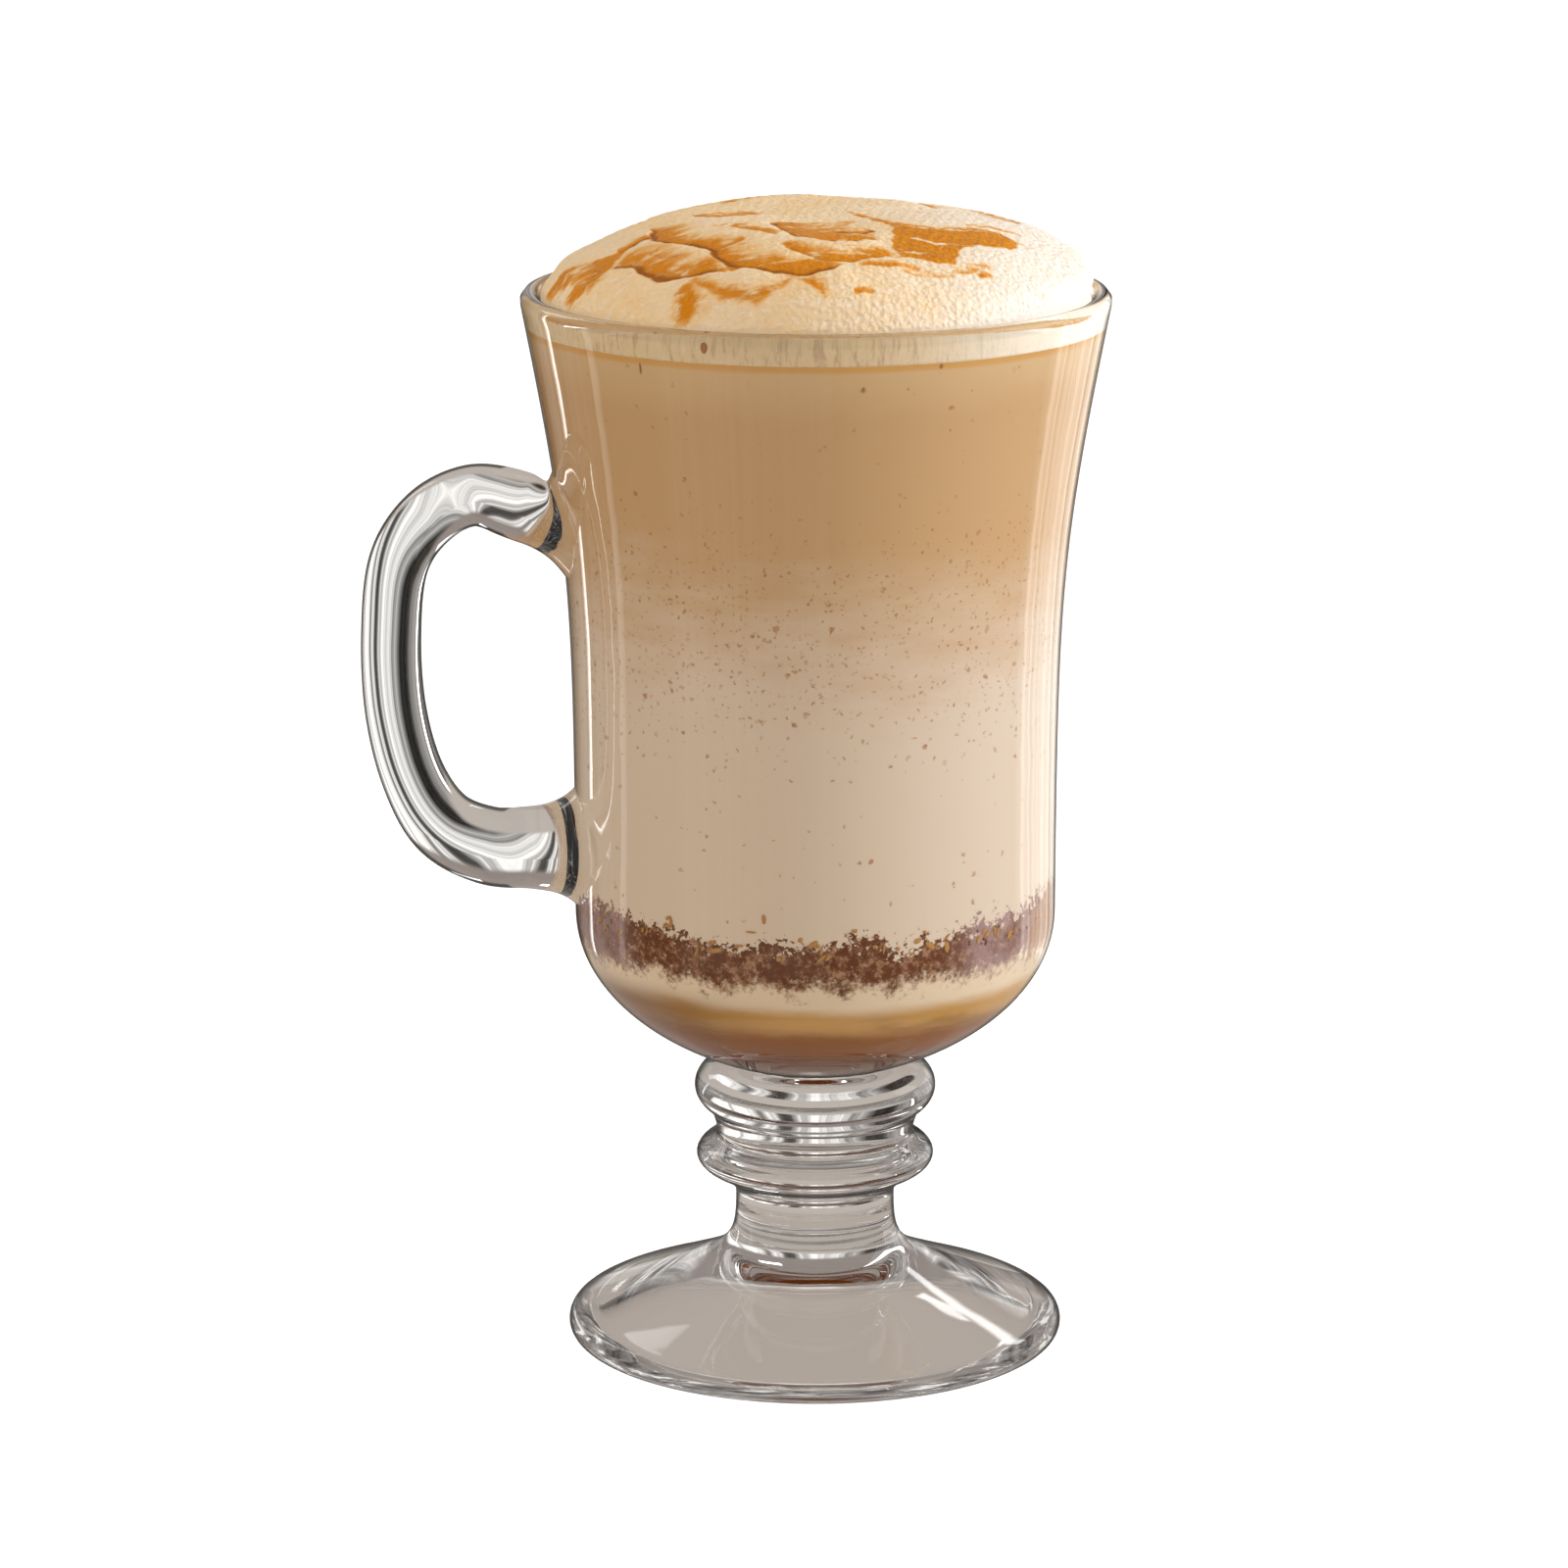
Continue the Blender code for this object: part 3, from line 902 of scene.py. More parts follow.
@dataclass
class GlassMug:
    """The footed glass mug with its handle."""

    axis_x: float
    steps: int = 200
    beads: tuple[Bead, ...] = (Bead(15.95, 34.1, 4.9, 3.9), Bead(15.75, 24.8, 6.6, 3.1))
    bottom_meets_bead: float = 65.0
    neck_radius: float = 10.45
    neck_top: float = 20.3
    foot_radius: float = 32.75
    foot_edge_height: float = 3.9
    foot_edge_round: float = 1.9
    foot_spread: float = 11.3
    foot_spread_height: float = 11.4
    bearing_outer: float = 30.0
    bearing_inner: float = 28.3
    hollow_slope: float = 0.43
    hollow_height: float = 8.3
    hollow_radius: float = 7.4
    handle_route: tuple[Triple, ...] = (
        (31.9, 109.9, 6.4), (34.1, 110.0, 5.8), (38.2, 112.3, 4.7), (44.3, 113.9, 4.0),
        (50.0, 111.2, 4.0), (54.0, 105.2, 3.9), (55.1, 95.5, 3.9), (54.6, 85.5, 4.0),
        (52.4, 76.8, 4.2), (48.6, 70.5, 4.7), (42.8, 67.5, 5.1), (37.0, 67.1, 5.4),
        (33.0, 67.1, 6.3), (30.0, 67.1, 7.0),
    )
    handle_oval: float = 1.12
    root_round: float = 1.6
    root_reach: float = 4.5
    root_sink: float = 0.5
    handle_sides: int = 56

    def foot(self) -> Profile:
        """Points from the neck over the foot's edge to the middle of its hollow underside.

        Returns:
            Radius and height pairs.
        """
        points = bezier(((self.neck_radius, self.neck_top - 2.0),
                         (self.neck_radius + 0.2, self.foot_spread_height),
                         (self.foot_spread, self.foot_spread_height),
                         (self.foot_radius - self.foot_edge_round, self.foot_edge_height)), 40)
        half = self.foot_edge_height / 2
        for a in np.radians(np.linspace(60.0, -80.0, 16)):
            points.append((self.foot_radius - self.foot_edge_round * (1.0 - math.cos(a)),
                           half + half * math.sin(a)))
        points.append((self.bearing_outer, 0.0))
        meeting = self.bearing_inner - self.hollow_height / self.hollow_slope
        points += bezier(((self.bearing_inner, 0.0),
                          ((self.bearing_inner + 2 * meeting) / 3, self.hollow_height * 0.78),
                          (meeting, self.hollow_height),
                          (self.hollow_radius, self.hollow_height)), 36)
        points.append((0.0, self.hollow_height))
        return points

    def half_section(self) -> Array:
        """The whole half section, from the inner floor over the lip to the foot's hollow.

        Returns:
            Radius and height rows.
        """
        lip_centre = BOWL.lip_height - BOWL.lip_round
        inside = BOWL.bottom(Side.INNER, 90.0, 0.0, 40)
        inside[0] = (0.0, BOWL.floor_inside)
        rising = np.linspace(BOWL.shoulder + 1.0, lip_centre, 60)
        inside += list(zip(BOWL.radius(rising, Side.INNER), rising))
        lip_radius = float(BOWL.radius(lip_centre, Side.OUTER)) - BOWL.lip_round
        lip = [(lip_radius + BOWL.lip_round * math.cos(a), lip_centre + BOWL.lip_round * math.sin(a))
               for a in np.radians(np.linspace(170.0, 0.0, 14))]
        falling = np.linspace(lip_centre - 0.8, BOWL.shoulder + 1.0, 90)
        outside = list(zip(BOWL.radius(falling, Side.OUTER), falling))
        outside += BOWL.bottom(Side.OUTER, 0.0, self.bottom_meets_bead, 30)
        bowl = resampled(inside + lip + outside, 0.9)
        bowl[0, 0] = 0.0
        stem = [tuple(bowl[-1])] + [point for bead in self.beads for point in bead.points()]
        lower = resampled(stem + [(self.neck_radius, self.neck_top)] + self.foot(), 0.45)
        lower = softened(lower, 3)
        lower[-1, 0] = 0.0
        return np.vstack([bowl[:-1], lower])

    def handle_rings(self) -> Array:
        """Rings along the handle, the end ones wrapped on the bowl's round side.

        Returns:
            Places by ring and by corner.
        """
        curve = curve_through(np.array(self.handle_route), 14)
        middle = curve[:, :2] * (-1.0, 1.0)
        tangents = np.gradient(middle, axis=0)
        tangents /= np.linalg.norm(tangents, axis=1, keepdims=True)
        normals = np.stack([-tangents[:, 1], tangents[:, 0]], axis=1)
        angles = np.arange(self.handle_sides) * math.tau / self.handle_sides
        rings = []
        for centre, normal, half in zip(middle, normals, curve[:, 2]):
            wall = -float(BOWL.radius(centre[1], Side.OUTER))
            gap = max(wall - centre[0], 0.0)
            swell = self.root_round * max(1.0 - gap / self.root_reach, 0.0) ** 3
            across = (half + swell) * np.cos(angles)
            aside = (half * self.handle_oval + swell) * np.sin(angles)
            x = centre[0] + normal[0] * across
            z = centre[1] + normal[1] * across
            held = BOWL.radius(z, Side.OUTER) + gap - self.root_sink
            wrapped = -np.sqrt(held ** 2 - aside ** 2)
            free = float(smooth_step(0.0, self.root_reach * 1.6, np.array(gap)))
            rings.append(np.stack([self.axis_x + x * free + wrapped * (1 - free), aside, z], axis=1))
        return np.array(rings)

    def handle(self) -> Piece:
        """The handle as one closed body, its ends just inside the bowl's wall.

        Returns:
            The handle.
        """
        rings = self.handle_rings()
        count, sides, _ = rings.shape
        vertices = np.vstack([rings.reshape(-1, 3), rings[0].mean(axis=0), rings[-1].mean(axis=0)])
        first, last = count * sides, count * sides + 1
        faces = []
        for j in range(sides):
            k = (j + 1) % sides
            faces.append((first, k, j))
            faces.append((last, (count - 1) * sides + j, (count - 1) * sides + k))
            faces.extend((i * sides + j, i * sides + k, (i + 1) * sides + k, (i + 1) * sides + j)
                         for i in range(count - 1))
        return mesh_object("handle_blank", vertices, faces)

    def build(self) -> Piece:
        """Turns the mug, joins the handle to it and dresses it.

        Returns:
            The finished piece.
        """
        vertices, faces = turned_points(self.half_section(), self.steps, self.axis_x)
        mug = mesh_object("footed_glass_mug", vertices, faces)
        handle = self.handle()
        union = mug.modifiers.new("join", "BOOLEAN")
        union.operation = "UNION"
        union.solver = "EXACT"
        union.object = handle
        made_plain(mug)
        bpy.data.objects.remove(handle)
        mug.data.shade_smooth()
        mug.data.materials.clear()
        mug.data.materials.append(ClearGlass(self.axis_x).material())
        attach(mug, BODY)
        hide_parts("glass_mug")
        return mug


@dataclass
class DrinkLayer:
    """One layer of the drink, reaching a little into the glass so that no air shows."""

    name: LayerName
    axis_x: float
    finish: DrinkFinish
    proud: float = 0.15
    overlap: float = 0.16
    steps: int = 160

    def profile(self) -> Array:
        """The layer's half section from its top middle to its bottom middle.

        Returns:
            Radius and height rows.
        """
        low, high = node_levels(self.name.value)
        low -= self.overlap
        high += self.overlap
        if self.name is LayerName.SYRUP:
            share = (BOWL.shoulder - high) / (BOWL.shoulder - BOWL.floor_inside + self.proud)
            start = math.degrees(math.asin(share ** (BOWL.round_downward / 2.0)))
            side = BOWL.bottom(Side.INNER, start, 90.0, 40, self.proud)
            side[-1] = (0.0, BOWL.floor_inside - self.proud)
            under = []
        else:
            heights = np.linspace(high, low, max(4, int((high - low) / 1.2)))
            side = list(zip(BOWL.radius(heights, Side.INNER, self.proud), heights))
            under = [(side[-1][0] / 2, low), (0.0, low)]
        return np.array([(0.0, high), (side[0][0] / 2, high)] + side + under)

    def build(self, colours: Tree) -> Piece:
        """Turns the layer and dresses it.

        Args:
            colours: The shared colour group.

        Returns:
            The finished piece.
        """
        vertices, faces = turned_points(self.profile(), self.steps, self.axis_x)
        layer = mesh_object(f"{self.name.value}_fill", vertices, faces)
        layer.data.set_sharp_from_angle(angle=math.radians(50.0))
        layer.data.materials.append(self.finish.material(colours))
        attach(layer, BODY)
        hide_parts(self.name.value)
        return layer


@dataclass(frozen=True)
class Fold:
    """A fold of the foam with caramel lying behind its crease.

    The route runs so that the caramel spreads to its left and the next mound of foam
    rises to its right.
    """

    route: tuple[Point, ...]
    spread: float
    tint: float
    crease: float = 0.0
    mound: float = 0.0
    edge: float = 0.45


@dataclass(frozen=True)
class FoamFinish:
    """Fine milk foam with caramel soaked into its folds."""

    axis_x: float
    cream: Colour = (0.77, 0.57, 0.35)
    # Pale cream, also laid on as painted highlights and as painted light towards the right.
    pale: Colour = (0.8, 0.69, 0.56)
    band: Colour = (0.6, 0.43, 0.24)
    band_grain: Colour = (0.46, 0.31, 0.17)
    warm: Colour = (0.78, 0.48, 0.18)
    caramel: Colour = (0.62, 0.21, 0.002)
    dark_caramel: Colour = (0.3, 0.085, 0.006)
    drawn_out: Triple = (0.45, 1.6, 1.0)
    bubble_scale: float = 1300.0
    bubble_depth: float = 0.36
    band_top: float = 139.6

    def ground(self, bench: Bench, place: Socket, drawn: Socket, aside: Socket,
               height: Socket) -> Socket:
        """The foam's colour: bubbly foam with painted highlights above the lip, a smooth grainy band
        behind the glass, both with painted light that turns them paler towards the right.

        Args:
            bench: Bench of the material.
            place: Object coordinates.
            drawn: The same, drawn out sideways.
            aside: Distance from the axis along X in millimetres.
            height: Height in millimetres.

        Returns:
            The colour without caramel.
        """
        drift = bench.noise(place, 75.0, 4.0, 0.55)
        colour = bench.over(self.cream, self.warm, drift, 0.42, 0.75, 0.6)
        # Painted light: the foam turns paler towards the right, the side the key light comes from.
        colour = bench.over(colour, self.pale, aside, 0.0, 28.0, 0.95)
        # Painted highlights: the pale peaks of this pattern stand in for light caught by the bubbles; its
        # low parts turn warm.
        froth_sheen = bench.noise(drawn, 650.0, 8.0, 0.78)
        colour = bench.over(colour, self.pale, froth_sheen, 0.52, 0.72, 0.8)
        colour = bench.over(colour, self.warm, froth_sheen, 0.48, 0.3, 0.45)
        grain = bench.noise(bench.scaled(place, (1.0, 1.0, 0.2)), 1500.0, 6.0, 0.75)
        walled = bench.over(self.band_grain, self.band, grain, 0.36, 0.52)
        walled = bench.over(walled, self.pale, grain, 0.58, 0.8, 0.5)
        # Painted light: the band behind the glass also turns paler towards the right.
        walled = bench.over(walled, self.pale, aside, 2.0, 30.0, 0.7)
        return bench.over(colour, walled, height, self.band_top + 0.4, self.band_top - 0.4)

    def relief(self, bench: Bench, place: Socket, drawn: Socket, clouds: Socket,
               height: Socket) -> Socket:
        """The foam's relief: bubbles and wrinkles, nearly flat behind the glass.

        Args:
            bench: Bench of the material.
            place: Object coordinates.
            drawn: The same, drawn out sideways.
            clouds: Broad unevenness.
            height: Height in millimetres.

        Returns:
            The relief.
        """
        cells = bench.add("ShaderNodeTexVoronoi", {"Vector": place, "Scale": self.bubble_scale})
        relief = bench.sum_of(bench.noise(place, 2600.0, 3.0), 0.6, cells.outputs["Distance"])
        relief = bench.sum_of(bench.noise(drawn, 420.0, 5.0, 0.6), 1.7, relief)
        relief = bench.sum_of(clouds, 2.0, relief)
        return bench.times(relief, bench.grade(height, self.band_top - 0.4,
                                               self.band_top + 1.0, 0.15, 1.0))

    def material(self) -> Material:
        """Makes the foam, coloured by the attributes that hold the caramel and the creases.

        Returns:
            The material.
        """
        material, bench, shader = new_material("foam_look", {
            "Specular IOR Level": 0.15, "Subsurface Weight": 0.3,
            "Subsurface Radius": (1.0, 0.65, 0.4), "Subsurface Scale": 0.8 * MM})
        place, x, _, z = bench.place()
        aside = bench.sum_of(x, 1.0 / MM, -self.axis_x)
        height = bench.times(z, 1.0 / MM)
        share, crease = (bench.add("ShaderNodeAttribute", attribute_name=name).outputs["Fac"]
                         for name in ("caramel", "crease"))
        drawn = bench.scaled(place, self.drawn_out)
        streaks = bench.noise(drawn, 520.0, 6.0, 0.65)
        clouds = bench.noise(place, 170.0, 5.0, 0.6)
        stain = bench.times(share, bench.times(bench.grade(streaks, 0.3, 0.64, 0.3, 1.35),
                                               bench.grade(clouds, 0.3, 0.6, 0.65, 1.15)))
        ground = self.ground(bench, place, drawn, aside, height)
        soft = bench.over(ground, self.warm, stain, 0.03, 0.45, 0.9)
        tone = bench.over(self.caramel, self.dark_caramel, streaks, 0.52, 0.36, 0.5)
        soaked = bench.over(soft, tone, stain, 0.12, 0.62)
        # Dark caramel along the creases: partly caramel gathered in the folds, partly painted shade in the
        # grooves.
        line = bench.times(crease, bench.grade(streaks, 0.2, 0.5, 0.4, 1.0))
        caramel_and_crease_shade = bench.over(soaked, self.dark_caramel, line, 0.25, 0.95, 0.9)
        relief = self.relief(bench, place, drawn, clouds, height)
        bench.feed(shader, {"Base Color": caramel_and_crease_shade, "Normal": bench.bump(relief, self.bubble_depth, 0.8),
                            "Roughness": bench.grade(stain, 0.2, 0.8, 0.65, 0.4)})
        return material


@dataclass
class Foam:
    """The dome of milk foam with its folds and caramel."""

    axis_x: float
    contact: float = 138.4
    shoulder: float = 142.4
    rise: float = 7.4
    rounded_from: float = 28.0
    dome_radius: float = 35.3
    fullness: float = 3.7
    edge_round: float = 0.7
    bulge_height: float = 140.8
    bulge_radius: float = 35.05
    proud: float = 0.15
    overlap: float = 0.16
    rings: int = 190
    steps: int = 440
    crowding: float = 0.45
    folds: tuple[Fold, ...] = (
        Fold(((-28.5, -11.5), (-26.5, -14.0), (-24.0, -19.0), (-20.5, -23.0), (-15.0, -25.5)),
             3.4, 0.9, 1.0, 0.8),
        Fold(((-15.0, -25.5), (-10.5, -24.5)), 2.5, 0.55, 0.2, 0.3),
        Fold(((-24.0, -13.0), (-22.5, -16.5), (-20.5, -18.0)), 0.6, 0.5, 0.5),
        Fold(((-22.0, -1.0), (-22.5, -7.0), (-20.0, -13.5), (-16.5, -18.0), (-14.5, -23.0),
              (-12.0, -26.0), (-7.0, -29.0), (-3.5, -28.5), (-1.0, -27.0)), 2.8, 1.0, 1.0, 0.9),
        Fold(((-16.5, -19.5), (-14.0, -18.0), (-12.0, -17.5)), 1.4, 0.8, 0.1),
        Fold(((-20.0, -24.5), (-16.5, -28.5), (-10.5, -31.0), (-6.5, -30.0), (-2.5, -33.0)),
             1.2, 0.6, 0.15, 0.3, 0.8),
        Fold(((-20.5, -25.5), (-20.5, -28.5), (-20.8, -30.5)), 2.0, 0.75, 0.0, 0.0, 1.6),
        Fold(((-16.5, 3.0), (-15.0, 0.5), (-12.0, -0.5), (-7.0, 0.5)), 3.5, 0.9, 0.8, 0.4),
        Fold(((-15.0, -9.0), (-12.5, -7.5), (-9.0, -6.5)), 0.8, 0.5, 0.9, 0.2),
        Fold(((-13.0, -10.0), (-10.0, -14.5), (-8.0, -17.5)), 1.6, 0.7, 0.2, 0.4),
        Fold(((-7.5, -7.0), (-6.5, -12.5), (-5.5, -17.5), (-0.5, -19.5), (5.0, -18.5)),
             7.5, 1.0, 1.1, 0.9),
        Fold(((-1.5, -13.5), (2.0, -15.5), (5.0, -14.5)), 2.0, 0.9, 1.0, 0.2),
        Fold(((-7.5, -21.0), (-6.0, -23.5), (-3.5, -25.5), (0.0, -26.0), (3.5, -25.0), (7.5, -24.5)),
             2.2, 0.9, 0.5, 0.6),
        Fold(((0.5, -27.5), (5.0, -27.5), (9.0, -26.5)), 1.2, 0.5, 0.1),
        Fold(((6.0, -28.5), (11.0, -27.5), (15.5, -25.5), (19.0, -23.5)), 1.5, 0.45, 0.1),
        Fold(((0.5, -32.3), (3.0, -32.3)), 0.7, 0.7),
        Fold(((16.0, -26.5), (18.5, -25.3)), 0.6, 0.6),
        Fold(((-33.5, -12.5), (-31.0, -12.5), (-28.5, -9.5), (-27.0, -7.5)), 5.5, 1.0, 0.2, 0.3, 2.0),
        Fold(((-27.0, -8.0), (-24.5, -7.5), (-22.5, -6.8)), 1.6, 0.8, 0.9),
        Fold(((-34.0, -9.0), (-34.5, -3.0)), 3.0, 0.9, 0.0, 0.0, 2.0),
        Fold(((3.0, -0.5), (6.5, -8.5), (11.5, -11.5), (16.0, -11.5), (22.0, -9.0)), 0.7, 0.9, 0.3),
        Fold(((17.0, -9.0), (21.0, -7.0), (25.0, -6.0)), 1.5, 0.4),
        Fold(((22.0, -12.5), (26.0, -11.0)), 1.0, 0.5),
        Fold(((-12.0, 12.0), (-2.0, 16.5), (10.0, 13.0), (15.0, 6.0)), 3.0, 0.7, 0.5, 0.6),
        Fold(((-24.0, 6.0), (-18.0, 15.0), (-8.0, 22.0), (2.0, 24.0)), 3.0, 0.6, 0.3, 0.5),
        Fold(((26.0, 3.0), (23.0, 12.0), (18.0, 18.0), (11.0, 21.0)), 3.0, 0.7, 0.4, 0.5),
    )
    taper: float = 0.08
    pool: tuple[Point, ...] = (
        (3.5, -0.5), (6.5, -9.0), (11.5, -12.5), (16.0, -12.5), (22.0, -9.0), (23.5, -12.0),
        (21.5, -16.0), (15.5, -19.0), (14.5, -22.5), (13.5, -24.5), (7.0, -24.0), (6.5, -18.5),
        (7.5, -12.0),
    )
    pool_soft: float = 0.6
    sliver: tuple[Point, Point] = ((9.0, -17.0), (12.5, -18.5))
    sliver_width: float = 0.55
    lean: float = 1.0
    slope_left: float = 0.7

    def dome(self, radius: Array) -> Array:
        """Height of the undrawn dome at each distance from the axis."""
        share = np.clip(radius / self.dome_radius, 0.0, 1.0)
        return self.shoulder + self.rise * (1.0 - share ** self.fullness)

    def profile(self) -> Array:
        """The foam's half section, from its top to the middle of its underside.

        Returns:
            Radius and height rows.
        """
        rim = self.dome_radius - self.edge_round
        radii = self.rounded_from * np.linspace(0.0, 1.0, self.rings + 1) ** 0.85
        top = list(zip(radii, self.dome(radii)))
        base = node_levels("milk_foam")[0] - self.overlap
        outer = np.linspace(self.rounded_from, rim, 12)
        edge = list(zip(outer, self.dome(outer)))
        edge += [(self.bulge_radius, self.bulge_height),
                 (float(BOWL.radius(self.contact, Side.INNER, self.proud)), self.contact)]
        down = np.linspace(self.contact - 0.4, base, 10)
        edge += list(zip(BOWL.radius(down, Side.INNER, self.proud), down))
        side = softened(resampled(edge, 0.3), 40)
        return np.vstack([top[:-1], side, [(side[-1, 0] / 2, base), (0.0, base)]])

    @staticmethod
    def to_segment(x: Array, y: Array, start: Point, end: Point) -> tuple[Array, Array, Array]:
        """Where points lie beside a straight piece of a stroke.

        Args:
            x: X of the points from the axis.
            y: Y of the points.
            start: Where the piece begins.
            end: Where it ends.

        Returns:
            Distances, the side of the piece each point lies on, and how far along it lies.
        """
        run = np.subtract(end, start)
        along = np.clip(((x - start[0]) * run[0] + (y - start[1]) * run[1]) / run.dot(run), 0.0, 1.0)
        away_x = x - start[0] - along * run[0]
        away_y = y - start[1] - along * run[1]
        return np.hypot(away_x, away_y), np.sign(run[0] * away_y - run[1] * away_x), along

    def to_fold(self, fold: Fold, x: Array, y: Array) -> tuple[Array, Array, Array]:
        """Where points lie beside a fold.

        Args:
            fold: The fold.
            x: X of the points from the axis.
            y: Y of the points.

        Returns:
            Distances, the side each point lies on, and a share that fades at the fold's ends.
        """
        route = np.array(fold.route)
        route = curve_through(route, 5) if len(route) > 2 else route
        distance = np.full_like(x, np.inf)
        side = np.zeros_like(x)
        passed = np.zeros_like(x)
        for place, (start, end) in enumerate(zip(route[:-1], route[1:])):
            away, hand, along = self.to_segment(x, y, tuple(start), tuple(end))
            closer = away < distance
            distance = np.where(closer, away, distance)
            side = np.where(closer, hand, side)
            passed = np.where(closer, (place + along) / (len(route) - 1), passed)
        ends = np.clip(np.minimum(passed, 1.0 - passed) / self.taper, 0.0, 1.0) ** 0.7
        return distance, side, ends

    def in_pool(self, x: Array, y: Array) -> Array:
        """How far inside the caramel pool points lie, from 0 to 1; less in its pale sliver.

        Args:
            x: X of the points from the axis.
            y: Y of the points.

        Returns:
            The pool's share at each point.
        """
        inside = np.zeros_like(x, bool)
        nearest = np.full_like(x, np.inf)
        for start, end in zip(self.pool, self.pool[1:] + self.pool[:1]):
            nearest = np.minimum(nearest, self.to_segment(x, y, start, end)[0])
            slope = (end[0] - start[0]) / ((end[1] - start[1]) or 1e-9)
            inside ^= ((start[1] > y) != (end[1] > y)) & (x < start[0] + slope * (y - start[1]))
        pool = smooth_step(-self.pool_soft, self.pool_soft, np.where(inside, nearest, -nearest))
        gap = self.to_segment(x, y, *self.sliver)[0]
        return pool * (1.0 - 0.9 * np.exp(-((gap / self.sliver_width) ** 2)))

    def drawing(self, x: Array, y: Array) -> tuple[Array, Array, Array]:
        """The folds and the caramel over the dome.

        Args:
            x: X of the points from the axis.
            y: Y of the points.

        Returns:
            The height to add, the caramel's share and the creases' share.
        """
        wobble_x = x + 0.3 * np.sin(0.55 * y + 1.0) + 0.15 * np.sin(1.9 * y + 0.6 * x)
        wobble_y = y + 0.3 * np.sin(0.5 * x + 2.0) + 0.15 * np.sin(1.7 * x + 0.7 * y)
        lift = 0.16 * np.sin(0.21 * x + 0.13 * y) + 0.1 * np.sin(0.35 * y - 0.24 * x + 1.0)
        caramel = self.in_pool(wobble_x, wobble_y)
        crease = np.zeros_like(x)
        for fold in self.folds:
            distance, side, ends = self.to_fold(fold, wobble_x, wobble_y)
            behind = np.exp(-((distance / fold.spread) ** 1.1))
            ahead = np.exp(-((distance / fold.edge) ** 2))
            caramel = np.maximum(caramel, fold.tint * ends * np.where(side > 0, behind, ahead))
            crease = np.maximum(crease, fold.crease * ends * np.exp(-((distance / 0.5) ** 2)))
            swell = distance * np.exp(-distance / 2.2) * 1.23
            lift += ends * (np.where(side < 0, 0.55 * fold.mound * swell, 0.0)
                            - 0.15 * fold.crease * ahead)
        return lift, caramel, crease

    def build(self) -> Piece:
        """Turns the dome, draws its folds, leans it and stains it.

        Returns:
            The finished piece.
        """
        vertices, faces = turned_points(self.profile(), self.steps, self.axis_x, self.crowding)
        x = vertices[:, 0] - self.axis_x
        y = vertices[:, 1]
        height = vertices[:, 2]
        highest = node_levels("milk_foam")[1]
        upper = smooth_step(self.contact, self.shoulder, height)
        lift, caramel, crease = self.drawing(x, y)
        ripple = 0.05 * np.sin(2.9 * x + 1.3 * y) * np.sin(2.3 * y - 1.1 * x)
        fade = upper * (1.0 - 0.8 * smooth_step(32.0, 35.0, np.hypot(x, y)))
        height += np.minimum((lift + ripple) * fade, highest - height)
        above_lip = smooth_step(BOWL.lip_height - 0.3, self.shoulder, height)
        left = smooth_step(-14.0, -31.0, x) * above_lip
        height -= self.slope_left * left * smooth_step(self.shoulder, self.shoulder + 3.0, height)
        vertices[:, 0] += self.lean * above_lip
        foam = mesh_object("milk_foam_dome", vertices, faces)
        for name, values in (("caramel", caramel * upper), ("crease", crease * upper)):
            share = foam.data.attributes.new(name, "FLOAT", "POINT")
            share.data.foreach_set("value", values.astype(np.float32))
        foam.data.materials.append(FoamFinish(self.axis_x).material())
        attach(foam, BODY)
        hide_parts("milk_foam")
        return foam


@dataclass(frozen=True)
class Drip:
    """A small dark run or speck on the inside of the front wall."""

    aside: float
    height: float
    half_width: float
    half_height: float
    taper: float = 0.0


